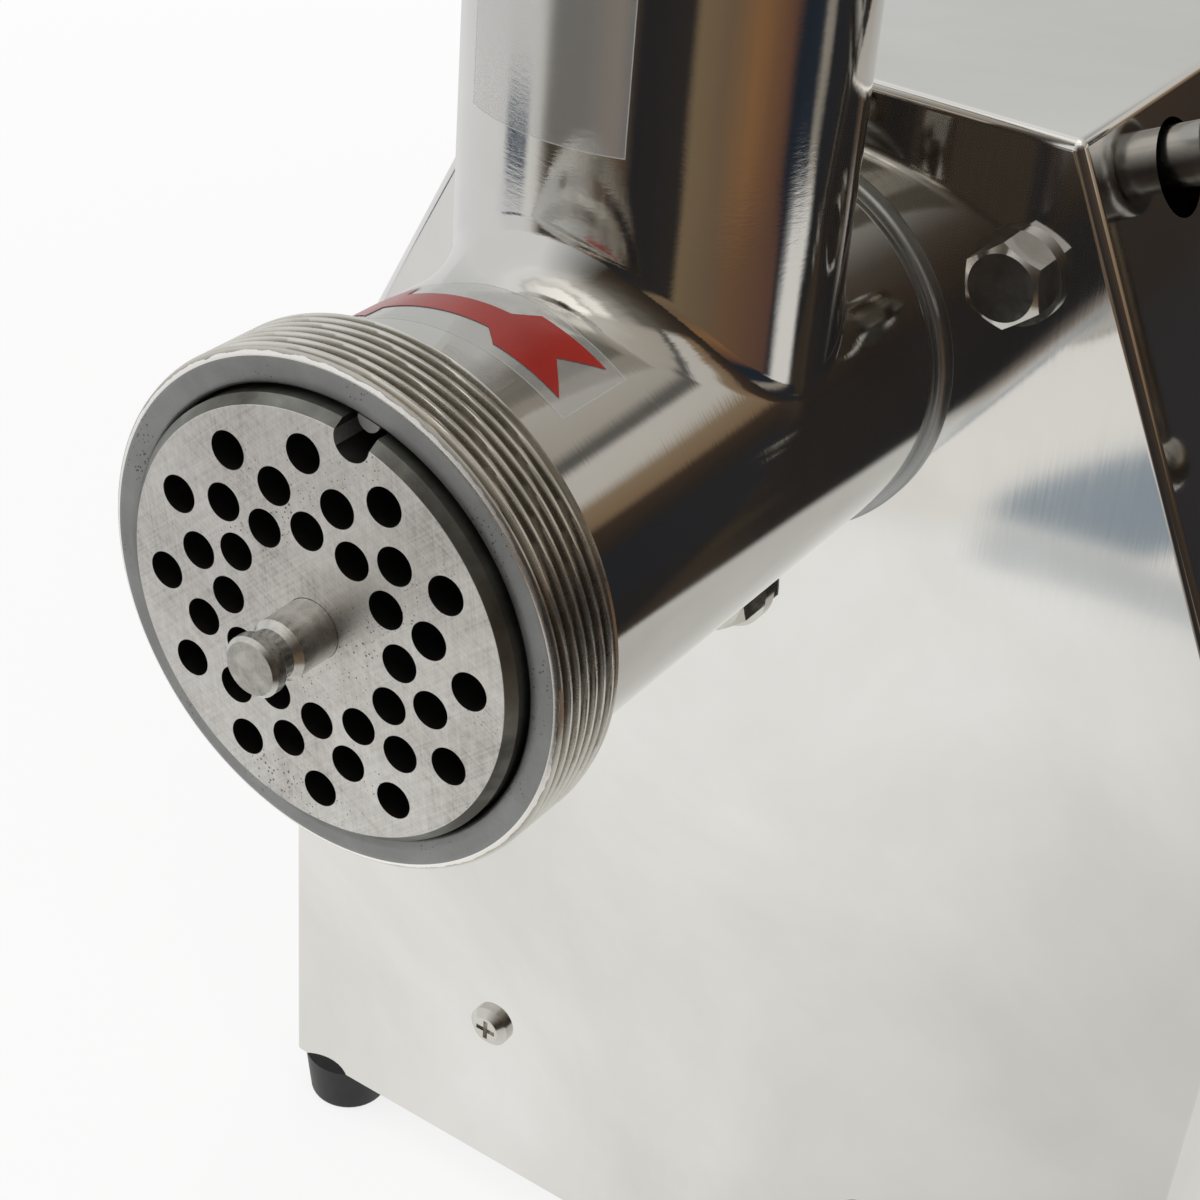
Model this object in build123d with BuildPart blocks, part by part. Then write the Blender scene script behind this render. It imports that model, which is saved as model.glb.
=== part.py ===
from build123d import *
import os
from math import atan, cos, pi, radians, sin, sqrt, tan

# An electric meat grinder of size 12, in millimetres.
# +Z is up, the grinding plate faces -Y, and +X is on the right of someone facing the plate.
# The origin lies on the table, under the middle of the whole machine.

# Housing: a welded sheet shell with upright sides, sloped shoulders and a flat top
BODY_HALF_WIDTH = 110.4
TOP_HALF_WIDTH = 52.3
AXIS_ABOVE_EDGE = 241.8
SHOULDER_BELOW_AXIS = 65.9
TOP_ABOVE_AXIS = 51.4
SHEET = 1.2
BEND_RADIUS = 2.0
REAR_LIP = 14.0
REAR_ROOM = 8.5
LIP_SCREW_ABOVE_EDGE = 90.0
LIP_SCREW_BELOW_SHOULDER = 20.0
LIP_SCREW_FROM_CORNER = 12.0
BASE_SCREW_INSET = 50.4
SHEET_GAP = 0.2

# Feet
FOOT_HEIGHT = 14.0
FOOT_TOP_RADIUS = 11.4
FOOT_BOTTOM_RADIUS = 9.8
FOOT_INSET_X = 10.4
FOOT_INSET_Y = 9.4
FOOT_RECESS_RADIUS = 5.6
FOOT_RECESS_DEPTH = 7.0
FOOT_SCREW_RADIUS = 2.5
FOOT_SCREW_HEAD = 3.0
FOOT_NUT_HEX = 8.0
FOOT_NUT_THICK = 4.0
FOOT_ROUND = 1.5

# Base plate
BASE_SHEET = 1.5
BASE_FLANGE = 56.0
BASE_SIDE_FLANGE = 25.0

# Grinder head: a stainless casting with a threaded nose and a filling throat
NOSE_REACH = 121.5
NOSE_LENGTH = 14.2
THREAD_RADIUS = 41.0
THREAD_DEPTH = 1.1
THREAD_PITCH = 2.0
NOSE_CHAMFER = 1.2
SEAT_RADIUS = 35.5
SEAT_DEPTH = 16.2
BARREL_FRONT_RADIUS = 36.2
BARREL_REAR_RADIUS = 35.7
BARREL_BORE = 30.0
REAR_WALL = 5.0
GASKET_THICK = 2.2
GASKET_RADIUS = 37.3
SHANK_RADIUS = 26.0
SHANK_LENGTH = 42.0
BUSHING_RADIUS = 15.0
THROAT_RADIUS = 31.5
THROAT_FROM_PANEL = 41.7
THROAT_WALL = 4.6
THROAT_TOP = 105.0
RIM_HEIGHT = 9.0
RIM_THICK = 6.8
MOUTH_RADIUS = 29.4
MOUTH_DEPTH = 12.0
THROAT_FILLET = 5.0

# Grinding plate, knife and auger
PLATE_RADIUS = 35.0
PLATE_THICK = 9.0
PLATE_PROUD = 2.8
PLATE_CHAMFER = 1.4
PLATE_HOLE_RADIUS = 3.0
PLATE_RINGS = (15.7, 21.7, 27.7)
PLATE_HOLES_PER_RING = 12
PLATE_TURN = 3.46
NOTCH_RADIUS = 3.05
NOTCH_CENTRE = 33.2
KEY_RADIUS = 1.9
KEY_ANGLE = PLATE_TURN + 2.5 * 360 / PLATE_HOLES_PER_RING
KNIFE_THICK = 9.0
KNIFE_RADIUS = 31.0
KNIFE_HUB_RADIUS = 13.0
KNIFE_BLADE_ROOT = 18.0
PIN_RADIUS = 4.75
PIN_REACH = 13.1
PIN_HEAD = 2.2
PIN_NECK = 3.8
PIN_NECK_DEPTH = 0.9
DRIVE_SQUARE = 12.0
FLIGHT_RADIUS = 29.4
FLIGHT_PITCH = 34.0
FLIGHT_ROOT = 7.0
FLIGHT_TIP = 4.0
CORE_RADIUS = 10.0
COLLAR_RADIUS = 20.0
COLLAR_THICK = 4.0
WASHER_THICK = 2.0
JOURNAL_RADIUS = 12.0
TANG_LENGTH = 22.0

# Head lock: a screw with a sliding cross bar, in the right sloped side
LOCK_BEHIND_PANEL = 32.1
LOCK_DOWN_SLOPE = 11.6
LOCK_HOLE_DOWN_SLOPE = 13.4
LOCK_HOLE_RADIUS = 8.6
LOCK_STEM_RADIUS = 5.5
LOCK_SEAT = 18.0
LOCK_PAD_LENGTH = 7.0
LOCK_STEM_OUT = 7.5
LOCK_HUB_RADIUS = 9.0
LOCK_HUB_LENGTH = 20.0
LOCK_HUB_ROUND = 2.0
LOCK_BOSS_RADIUS = 11.0
LOCK_BOSS_SETBACK = 14.0
BAR_RADIUS = 4.0
BAR_LENGTH = 70.0
BAR_BALL_RADIUS = 6.0

# Flange bolts that hold the gearbox to the front of the housing, evenly round the axis, one straight below it
BOLT_CIRCLE = 53.1
BOLT_TURNS = [radians(degrees) for degrees in (30, 150, 270)]
FLANGE_BOLTS = [(BOLT_CIRCLE * cos(turn), BOLT_CIRCLE * sin(turn)) for turn in BOLT_TURNS]
BOLT_RADIUS = 4.0
BOLT_HEX = 13.0
BOLT_HEAD = 5.4
BOLT_HEX_TURN = 39.0
BOLT_WASHER_RADIUS = 8.4
BOLT_WASHER_THICK = 1.6

# Pan head screws
PANEL_SCREW_X = 49.5
PANEL_SCREW_ABOVE_EDGE = 44.0
PAN_HEAD_RADIUS = 5.2
PAN_HEAD_HEIGHT = 2.8
PAN_SHANK_RADIUS = 2.5
PAN_LENGTH = 9.0
CROSS_WIDTH = 1.2
CROSS_LENGTH = 5.2
CROSS_DEPTH = 1.5

# Gear train: two stages of straight teeth between the motor and the auger
PRESSURE_ANGLE = 20.0
BACKLASH = 0.2
STAGE_1_MODULE = 1.5
MOTOR_TEETH = 15
COUNTER_TEETH = 50
STAGE_2_MODULE = 2.0
PINION_TEETH = 17
OUTPUT_TEETH = 40
OUTPUT_FACE = 18.0
PINION_FACE = 20.0
COUNTER_FACE = 12.0
MOTOR_FACE = 14.0

# Gearbox casting
FLANGE_THICK = 10.0
FLANGE_RADIUS = 47.0
FLANGE_EAR_RADIUS = 11.0
NECK_RADIUS = 37.0
CASE_FRONT = 58.0
CASE_WALL = 10.0
CASE_SPACE = 37.0
CASE_SIDE = 4.5
GEAR_ROOM = 1.6
COVER_THICK = 9.0
SEAL_THICK = 6.0
SEAL_FROM_SHANK = 2.0
BEARING_WIDTH = 15.0
OUTPUT_SHAFT_RADIUS = 13.0
REAR_BUSH_WALL = 4.0
COUNTER_SHAFT_RADIUS = 8.0
COUNTER_BUSH_WALL = 3.0
COUNTER_BUSH_LENGTH = 8.0
COVER_BOSS_RADIUS = 6.5
COVER_BOSS_LENGTH = 26.0
COVER_SCREW_RADIUS = 2.5
COVER_SCREW_HEAD = 4.25
COVER_SCREW_HEAD_HEIGHT = 4.8
COVER_SCREW_LENGTH = 18.0
COVER_SCREW_DROP = 50.0

# Motor
MOTOR_RADIUS = 65.0
MOTOR_SHELL_WALL = 3.0
FRONT_BELL = 16.0
SHELL_LENGTH = 78.0
REAR_BELL = 14.0
STATOR_BORE = 38.0
ROTOR_GAP = 0.6
CORE_LENGTH = 62.0
WINDING_LENGTH = 7.0
WINDING_INNER = 42.0
WINDING_INSET = 12.0
WINDING_OUTER = MOTOR_RADIUS - WINDING_INSET
MOTOR_SHAFT_RADIUS = 7.0
MOTOR_BEARING_RADIUS = 16.0
MOTOR_BEARING_WIDTH = 8.0
BELL_WALL = 8.0
BELL_RIM = 5.0
BELL_HUB_WALL = 6.0
BELL_LIP = 4.0
MOTOR_NOSE_HOLE = 14.0
TIE_BOLT_INSET = 7.5
TIE_BOLT_CIRCLE = MOTOR_RADIUS - TIE_BOLT_INSET
TIE_BOLT_RADIUS = 2.5
TIE_BOLT_HEX = 8.0
TIE_BOLT_HEAD = 4.0
TIE_BOLT_GRIP = 6.0
FAN_RADIUS = 50.0
FAN_HUB_RADIUS = 12.0
FAN_WIDTH = 14.0
FAN_BLADES = 8
FAN_BLADE_THICK = 2.0
FAN_FROM_BELL = 4.0
CRADLE_LENGTH = 36.0
CRADLE_HALF_WIDTH = 60.0
CRADLE_LEG = 14.0
CRADLE_WALL = 7.0
CRADLE_WRAP = 26.0
CRADLE_SCREW_LENGTH = 12.0
CRADLE_SCREW_EDGE = 8.0
CAPACITOR_RADIUS = 20.0
CAPACITOR_LENGTH = 75.0
TAB_SPACING = 16.0
TAB_THICK = 0.8
TAB_LENGTH = 9.0
TAB_WIDTH = 6.3
TAB_SUNK = 0.5
CAPACITOR_X = -52.0
CAPACITOR_FROM_PANEL = 42.0
STRAP_THICK = 1.5
STRAP_WIDTH = 14.0

# Rear panel fittings
REAR_PANEL_THICK = 1.5
VENT_LENGTH = 52.0
VENT_WIDTH = 3.4
VENT_PITCH = 9.0
VENT_ROWS = 10
VENT_X = 34.0
VENT_BELOW_AXIS = 140.0
REAR_SCREW_RADIUS = 2.0
REAR_SCREW_HEAD = 4.0
REAR_SCREW_HEAD_HEIGHT = 2.2
REAR_SCREW_EDGE = 7.0
SWITCH_X = 36.0
SWITCH_BELOW_AXIS = 12.0
SWITCH_WIDTH = 22.0
SWITCH_HEIGHT = 30.0
SWITCH_DEPTH = 24.0
BEZEL_MARGIN = 3.0
BEZEL_THICK = 2.4
ROCKER_WIDTH = 15.0
ROCKER_HEIGHT = 23.0
ROCKER_DEPTH = 9.0
ROCKER_PROUD = 2.4
ROCKER_PIN_RADIUS = 1.5
ROCKER_PIN_LENGTH = 2.0
RESET_X = -36.0
RESET_COLLAR_RADIUS = 8.0
RESET_COLLAR_HEIGHT = 4.0
RESET_BODY_RADIUS = 10.0
RESET_NECK_RADIUS = 6.0
RESET_BODY_LENGTH = 24.0
RESET_BUTTON_RADIUS = 4.0
RESET_BUTTON_OUT = 5.0
RESET_BUTTON_DEPTH = 8.0
RESET_TRAVEL = 3.0
GLAND_X = 52.0
GLAND_ABOVE_EDGE = 76.0
GLAND_BORE = 4.6
GLAND_RADIUS = 8.0
GLAND_HEX = 19.0
GLAND_HEX_THICK = 4.0
GLAND_REACH = 14.0
GLAND_INSIDE = 10.0
GLAND_NUT_THICK = 5.0

# Clearances
RUNNING_FIT = 0.06
SEAT_FIT = 0.03
TOUCH_GAP = 0.3
MOVING_ROOM = 0.5

# Places worked out from the sizes above
AXIS_Z = FOOT_HEIGHT + AXIS_ABOVE_EDGE
GEARBOX_DEPTH = CASE_FRONT + CASE_WALL + CASE_SPACE + COVER_THICK
MOTOR_DEPTH = FRONT_BELL + SHELL_LENGTH + REAR_BELL + FAN_FROM_BELL + FAN_WIDTH
BODY_DEPTH = GEARBOX_DEPTH + MOTOR_DEPTH + REAR_ROOM + REAR_PANEL_THICK
PANEL_Y = (NOSE_REACH + PLATE_PROUD + PIN_REACH - BODY_DEPTH - GLAND_REACH) / 2
REAR_Y = PANEL_Y + BODY_DEPTH
INSIDE_Y = PANEL_Y + SHEET
EDGE_Z = FOOT_HEIGHT
SHOULDER_Z = AXIS_Z - SHOULDER_BELOW_AXIS
TOP_Z = AXIS_Z + TOP_ABOVE_AXIS
SLOPE = atan((BODY_HALF_WIDTH - TOP_HALF_WIDTH) / (TOP_Z - SHOULDER_Z))
NOSE_Y = PANEL_Y - NOSE_REACH
PLATE_Y = NOSE_Y - PLATE_PROUD
PLATE_BACK_Y = PLATE_Y + PLATE_THICK
KNIFE_Y = PLATE_BACK_Y + TOUCH_GAP
KNIFE_BACK_Y = KNIFE_Y + KNIFE_THICK
HEAD_REAR_Y = PANEL_Y - GASKET_THICK
BORE_END_Y = HEAD_REAR_Y - REAR_WALL
SHANK_END_Y = PANEL_Y + SHANK_LENGTH
COLLAR_BACK_Y = BORE_END_Y - WASHER_THICK - TOUCH_GAP
THROAT_Y = PANEL_Y - THROAT_FROM_PANEL
COUNTER_Z = AXIS_Z - STAGE_2_MODULE * (OUTPUT_TEETH + PINION_TEETH) / 2
MOTOR_Z = COUNTER_Z - STAGE_1_MODULE * (COUNTER_TEETH + MOTOR_TEETH) / 2
CASE_Y = PANEL_Y + CASE_FRONT
SPACE_Y = CASE_Y + CASE_WALL
COVER_Y = SPACE_Y + CASE_SPACE
COVER_BACK_Y = COVER_Y + COVER_THICK
SEAL_Y = SHANK_END_Y + SEAL_FROM_SHANK
BEARING_Y = SEAL_Y + SEAL_THICK
STAGE_2_Y = SPACE_Y + 2
STAGE_1_Y = STAGE_2_Y + PINION_FACE + 2
BELL_END_Y = COVER_BACK_Y + FRONT_BELL
SHELL_END_Y = BELL_END_Y + SHELL_LENGTH
MOTOR_END_Y = SHELL_END_Y + REAR_BELL
CORE_Y = BELL_END_Y + (SHELL_LENGTH - CORE_LENGTH) / 2
FAN_Y = MOTOR_END_Y + FAN_FROM_BELL
CRADLE_Y = BELL_END_Y + (SHELL_LENGTH - CRADLE_LENGTH) / 2
BASE_TOP_Z = EDGE_Z + BASE_SHEET
REAR_PANEL_Y = REAR_Y - REAR_PANEL_THICK
LOCK_DIRECTION = (cos(SLOPE), 0, sin(SLOPE))
UP_SLOPE = (-sin(SLOPE), 0, cos(SLOPE))
FOOT_X = BODY_HALF_WIDTH - FOOT_INSET_X
FOOT_FRONT_Y = PANEL_Y + FOOT_INSET_Y
FOOT_REAR_Y = REAR_Y - FOOT_INSET_Y
PANEL_SCREW_Z = EDGE_Z + PANEL_SCREW_ABOVE_EDGE
LIP_X = BODY_HALF_WIDTH - SHEET - REAR_SCREW_EDGE
LIP_TOP_Z = TOP_Z - SHEET - REAR_SCREW_EDGE
LIP_LOW_Z = EDGE_Z + LIP_SCREW_ABOVE_EDGE
LIP_HIGH_Z = SHOULDER_Z - LIP_SCREW_BELOW_SHOULDER
LIP_TOP_X = TOP_HALF_WIDTH - LIP_SCREW_FROM_CORNER
BASE_SCREW_X = BODY_HALF_WIDTH - BASE_SCREW_INSET
LIP_SCREWS = [(side * LIP_X, height) for side in (-1, 1) for height in (LIP_LOW_Z, LIP_HIGH_Z)]
LIP_SCREWS += [(side * LIP_TOP_X, LIP_TOP_Z) for side in (-1, 1)]
BASE_SCREWS = [(side * BASE_SCREW_X, EDGE_Z + BASE_FLANGE / 2) for side in (-1, 1)]
FOOT_PLACES = [(x, y) for y in (FOOT_FRONT_Y, FOOT_REAR_Y) for x in (-FOOT_X, FOOT_X)]


def along_plane(height, x=0.0):
    """A plane through an axis that runs along Y: local x is Y, local y is the radius."""
    return Plane(origin=(x, 0, height), x_dir=(0, 1, 0), z_dir=(1, 0, 0))


def cross_plane(y):
    """A plane square to Y, seen from the front: local x is X and local y is Z."""
    return Plane.XZ.offset(-y)


def turn(points, height=AXIS_Z, x=0.0, mode=Mode.ADD):
    """Turn a closed outline of (y, radius) points about the Y axis at this height."""
    with BuildSketch(along_plane(height, x)) as outline:
        with BuildLine():
            Polyline(*points, close=True)
        make_face()
    revolve(outline.sketch, axis=Axis((x, 0, height), (0, 1, 0)), mode=mode)


def ring(inner, outer, start, length, height=AXIS_Z, x=0.0, mode=Mode.ADD):
    """A plain ring about a Y axis."""
    end = start + length
    turn([(start, inner), (end, inner), (end, outer), (start, outer)], height, x, mode)


def rod(radius, start, length, height=AXIS_Z, x=0.0, mode=Mode.ADD):
    """A plain round rod along Y."""
    ring(0, radius, start, length, height, x, mode)


def square_bar(side, start, length, mode=Mode.ADD):
    """A square bar on the grinding axis."""
    with BuildSketch(cross_plane(start)) as profile:
        with Locations((0, AXIS_Z)):
            Rectangle(side, side)
    extrude(profile.sketch, amount=-length, mode=mode)


def gear_face(plane, teeth, module, tooth_angle):
    """The face of a straight gear with one tooth centred at tooth_angle, on involute flanks."""
    pitch = module * teeth / 2
    tip = pitch + module
    root = pitch - 1.25 * module
    base = pitch * cos(radians(PRESSURE_ANGLE))
    roll = tan(radians(PRESSURE_ANGLE)) - radians(PRESSURE_ANGLE)
    half_pitch = pi / (2 * teeth) - BACKLASH / (4 * pitch)

    def half_angle(radius):
        run = sqrt(max((radius / base) ** 2 - 1, 0))
        return half_pitch + roll - (run - atan(run))

    def spot(radius, angle):
        return (radius * cos(angle), radius * sin(angle))

    start = max(base, root)
    radii = [start + (tip - start) * step / 3 for step in range(4)]
    with BuildSketch(plane) as face:
        with BuildLine():
            for tooth in range(teeth):
                middle = radians(tooth_angle) + 2 * pi * tooth / teeth
                following = middle + 2 * pi / teeth
                foot = half_angle(start)
                rising = [spot(radius, middle - half_angle(radius)) for radius in radii]
                falling = [spot(radius, middle + half_angle(radius)) for radius in reversed(radii)]
                Spline(*rising)
                Line(rising[-1], falling[0])
                Spline(*falling)
                root_out = spot(root, middle + foot)
                root_in = spot(root, following - foot)
                if start > root:
                    Line(falling[-1], root_out)
                    Line(root_in, spot(start, following - foot))
                Line(root_out, root_in)
        make_face()
    return face.sketch


def house_points(inset, floor):
    """The housing's outline, moved in by inset, with its open lower end at floor."""
    side = BODY_HALF_WIDTH - inset
    top = TOP_Z - inset
    reach = BODY_HALF_WIDTH * cos(SLOPE) + SHOULDER_Z * sin(SLOPE) - inset
    shoulder = (reach - side * cos(SLOPE)) / sin(SLOPE)
    corner = (reach - top * sin(SLOPE)) / cos(SLOPE)
    right = [(side, floor), (side, shoulder), (corner, top)]
    left = [(-x, z) for x, z in reversed(right)]
    return right + left


def house_face(inset, floor, y):
    """A sketch of the housing's outline, square to Y."""
    with BuildSketch(cross_plane(y)) as face:
        with BuildLine():
            Polyline(*house_points(inset, floor), close=True)
        make_face()
    return face.sketch


def slope_plane(down_slope, behind_panel):
    """A plane on the right sloped side, facing out, at a distance down from the top corner."""
    x = TOP_HALF_WIDTH + down_slope * sin(SLOPE)
    z = TOP_Z - down_slope * cos(SLOPE)
    return Plane(origin=(x, PANEL_Y + behind_panel, z), x_dir=(0, 1, 0), z_dir=LOCK_DIRECTION)


LOCK_PLANE = slope_plane(LOCK_DOWN_SLOPE, LOCK_BEHIND_PANEL)
LOCK_PANEL_REACH = LOCK_PLANE.origin.X * cos(SLOPE) + (LOCK_PLANE.origin.Z - AXIS_Z) * sin(SLOPE)


def lock_rod(radius, start, length, mode=Mode.ADD):
    """A round rod on the lock's axis; start is counted from the grinding axis outwards."""
    with BuildSketch(LOCK_PLANE.offset(start - LOCK_PANEL_REACH)) as profile:
        Circle(radius)
    extrude(profile.sketch, amount=length, mode=mode)


def bar_plane(up_slope):
    """A plane square to the lock's cross bar, at a distance up the slope from the lock's axis."""
    out = LOCK_STEM_OUT + LOCK_HUB_LENGTH / 2
    place = LOCK_PLANE.origin + Vector(*LOCK_DIRECTION) * out + Vector(*UP_SLOPE) * up_slope
    return Plane(origin=place, x_dir=(0, 1, 0), z_dir=UP_SLOPE)


def throat_tube(radius, depth, mode=Mode.ADD):
    """A round upright tube under the throat's top."""
    with BuildSketch(Plane(origin=(0, THROAT_Y, AXIS_Z + THROAT_TOP))) as section:
        Circle(radius)
    extrude(section.sketch, amount=-depth, mode=mode)


def pan_screw(x, y, z, radius, height, shank, length, towards_rear):
    """A pan head screw with a cross recess; its head stands on the plane at y."""
    way = 1 if towards_rear else -1
    face = y - way * height
    dome = 0.35 * radius
    points = [(y, 0), (y, radius), (y - way * 0.45 * height, radius), (face, radius - dome), (face, 0)]
    turn(points, z, x)
    rod(shank, min(y, y + way * length), length, z, x)
    for width, tall in ((CROSS_WIDTH, CROSS_LENGTH), (CROSS_LENGTH, CROSS_WIDTH)):
        with BuildSketch(cross_plane(face)) as slot:
            with Locations((x, z)):
                Rectangle(width * radius / PAN_HEAD_RADIUS, tall * radius / PAN_HEAD_RADIUS)
        extrude(slot.sketch, amount=-way * CROSS_DEPTH, mode=Mode.SUBTRACT)


def save(piece, name):
    """Label a finished piece and write it to its own file."""
    piece.part.label = name
    export_step(piece.part, f"parts/{name}.step")


os.makedirs("parts", exist_ok=True)

# Grinder head: threaded nose, barrel and shank in one casting, with the throat on top
ridges = int((NOSE_LENGTH - 2 * NOSE_CHAMFER) / THREAD_PITCH)
thread = []
for ridge in range(ridges):
    crest = NOSE_Y + NOSE_CHAMFER + THREAD_PITCH * (ridge + 0.5)
    thread += [
        (crest - 0.45 * THREAD_PITCH, THREAD_RADIUS - THREAD_DEPTH),
        (crest - 0.12 * THREAD_PITCH, THREAD_RADIUS),
        (crest + 0.12 * THREAD_PITCH, THREAD_RADIUS),
        (crest + 0.45 * THREAD_PITCH, THREAD_RADIUS - THREAD_DEPTH),
    ]
NOSE_END_Y = NOSE_Y + NOSE_LENGTH

with BuildPart() as grinder_head:
    turn(
        [(NOSE_Y, 0), (NOSE_Y, THREAD_RADIUS - NOSE_CHAMFER)]
        + thread
        + [
            (NOSE_END_Y - 0.6 * NOSE_CHAMFER, THREAD_RADIUS),
            (NOSE_END_Y, THREAD_RADIUS - 0.6 * NOSE_CHAMFER),
            (NOSE_END_Y, BARREL_FRONT_RADIUS),
            (HEAD_REAR_Y, BARREL_REAR_RADIUS),
            (HEAD_REAR_Y, SHANK_RADIUS),
            (SHANK_END_Y, SHANK_RADIUS),
            (SHANK_END_Y, 0),
        ]
    )
    barrel_edges = grinder_head.edges()
    throat_tube(THROAT_RADIUS, THROAT_TOP)
    seam = grinder_head.edges() - barrel_edges
    fillet(seam.filter_by(lambda edge: edge.center().Z < AXIS_Z + BARREL_FRONT_RADIUS), THROAT_FILLET)
    throat_tube(MOUTH_RADIUS + RIM_THICK, RIM_HEIGHT)
    rod(SEAT_RADIUS, NOSE_Y, SEAT_DEPTH, mode=Mode.SUBTRACT)
    rod(BARREL_BORE, NOSE_Y, BORE_END_Y - NOSE_Y, mode=Mode.SUBTRACT)
    rod(BUSHING_RADIUS, BORE_END_Y, SHANK_END_Y - BORE_END_Y, mode=Mode.SUBTRACT)
    throat_tube(THROAT_RADIUS - THROAT_WALL, THROAT_TOP, mode=Mode.SUBTRACT)
    throat_tube(MOUTH_RADIUS, MOUTH_DEPTH, mode=Mode.SUBTRACT)
    lock_rod(LOCK_STEM_RADIUS + MOVING_ROOM, LOCK_SEAT, SHANK_RADIUS, mode=Mode.SUBTRACT)
save(grinder_head, "grinder_head")

# Gasket ring between the head and the housing
with BuildPart() as head_gasket:
    ring(SHANK_RADIUS + SHEET_GAP, GASKET_RADIUS, HEAD_REAR_Y, GASKET_THICK)
save(head_gasket, "head_gasket")

# Key in the nose that stops the plate from turning
key_x = SEAT_RADIUS * cos(radians(KEY_ANGLE))
key_z = AXIS_Z + SEAT_RADIUS * sin(radians(KEY_ANGLE))
with BuildPart() as plate_key:
    rod(KEY_RADIUS, NOSE_Y + TOUCH_GAP, SEAT_DEPTH / 2, key_z, key_x)
    rod(SEAT_RADIUS - SEAT_FIT, NOSE_Y, SEAT_DEPTH, mode=Mode.INTERSECT)
save(plate_key, "plate_key")

# Grinding plate with three rings of holes and a notch for the key
with BuildPart() as grinding_plate:
    turn([
        (PLATE_Y, 0),
        (PLATE_Y, PLATE_RADIUS - PLATE_CHAMFER),
        (PLATE_Y + PLATE_CHAMFER, PLATE_RADIUS),
        (PLATE_BACK_Y - PLATE_CHAMFER, PLATE_RADIUS),
        (PLATE_BACK_Y, PLATE_RADIUS - PLATE_CHAMFER),
        (PLATE_BACK_Y, 0),
    ])
    step = 360 / PLATE_HOLES_PER_RING
    with BuildSketch(cross_plane(PLATE_Y)) as holes:
        with Locations((0, AXIS_Z)):
            Circle(PIN_RADIUS + RUNNING_FIT)
            for number, radius in enumerate(PLATE_RINGS):
                with PolarLocations(radius, PLATE_HOLES_PER_RING, PLATE_TURN + (number % 2) * step / 2):
                    Circle(PLATE_HOLE_RADIUS)
            with PolarLocations(NOTCH_CENTRE, 1, KEY_ANGLE):
                Circle(NOTCH_RADIUS)
            with PolarLocations(NOTCH_CENTRE + NOTCH_RADIUS, 1, KEY_ANGLE):
                Rectangle(2 * NOTCH_RADIUS, 2 * NOTCH_RADIUS)
    extrude(holes.sketch, amount=-PLATE_THICK, mode=Mode.SUBTRACT)
save(grinding_plate, "grinding_plate")

# Four-bladed cutter knife on the auger's square
with BuildPart() as cutter_knife:
    rod(KNIFE_HUB_RADIUS, KNIFE_Y, KNIFE_THICK)
    with BuildSketch(cross_plane(KNIFE_Y)) as blades:
        with Locations((0, AXIS_Z)):
            with PolarLocations(KNIFE_RADIUS / 2, 4):
                Trapezoid(KNIFE_BLADE_ROOT, KNIFE_RADIUS, 80, rotation=-90)
    extrude(blades.sketch, amount=-0.75 * KNIFE_THICK)
    rod(KNIFE_RADIUS, KNIFE_Y, KNIFE_THICK, mode=Mode.INTERSECT)
    square_bar(DRIVE_SQUARE + 2 * SEAT_FIT, KNIFE_Y, KNIFE_THICK, mode=Mode.SUBTRACT)
save(cutter_knife, "cutter_knife")

# Auger: front pin with a neck, square for the knife, flighted core, collar, journal and tang
PIN_TIP_Y = PLATE_Y - PIN_REACH
NECK_Y = PIN_TIP_Y + PIN_HEAD
FLIGHT_Y = KNIFE_BACK_Y + MOVING_ROOM
COLLAR_Y = COLLAR_BACK_Y - COLLAR_THICK
flight_length = COLLAR_Y - FLIGHT_Y
with BuildPart() as auger:
    with BuildSketch(along_plane(AXIS_Z)) as flight:
        with BuildLine():
            Polyline(
                (FLIGHT_Y + FLIGHT_ROOT / 2, CORE_RADIUS - 1),
                (FLIGHT_Y + 1.5 * FLIGHT_ROOT, CORE_RADIUS - 1),
                (FLIGHT_Y + FLIGHT_ROOT + FLIGHT_TIP / 2, FLIGHT_RADIUS),
                (FLIGHT_Y + FLIGHT_ROOT - FLIGHT_TIP / 2, FLIGHT_RADIUS),
                close=True,
            )
        make_face()
    with BuildLine() as spiral:
        Helix(
            FLIGHT_PITCH,
            flight_length - 2 * FLIGHT_ROOT,
            CORE_RADIUS,
            center=(0, FLIGHT_Y + FLIGHT_ROOT, AXIS_Z),
            direction=(0, 1, 0),
            lefthand=True,
        )
    sweep(flight.sketch, path=spiral.line, is_frenet=True)
    turn([
        (PIN_TIP_Y, 0),
        (PIN_TIP_Y, PIN_RADIUS - 0.6),
        (PIN_TIP_Y + 0.6, PIN_RADIUS),
        (NECK_Y, PIN_RADIUS),
        (NECK_Y + 0.3 * PIN_NECK, PIN_RADIUS - PIN_NECK_DEPTH),
        (NECK_Y + 0.7 * PIN_NECK, PIN_RADIUS - PIN_NECK_DEPTH),
        (NECK_Y + PIN_NECK, PIN_RADIUS),
        (KNIFE_Y, PIN_RADIUS),
        (KNIFE_Y, 0),
    ])
    square_bar(DRIVE_SQUARE, KNIFE_Y, KNIFE_THICK + MOVING_ROOM + 1)
    rod(CORE_RADIUS, FLIGHT_Y, flight_length)
    rod(COLLAR_RADIUS, COLLAR_Y, COLLAR_THICK)
    rod(JOURNAL_RADIUS, COLLAR_BACK_Y, SHANK_END_Y - COLLAR_BACK_Y - 2)
    square_bar(DRIVE_SQUARE, SHANK_END_Y - 3, TANG_LENGTH + 1)
save(auger, "auger")

# Thrust washer behind the auger's collar
with BuildPart() as thrust_washer:
    ring(JOURNAL_RADIUS + MOVING_ROOM, COLLAR_RADIUS, BORE_END_Y - WASHER_THICK, WASHER_THICK)
save(thrust_washer, "thrust_washer")

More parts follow.
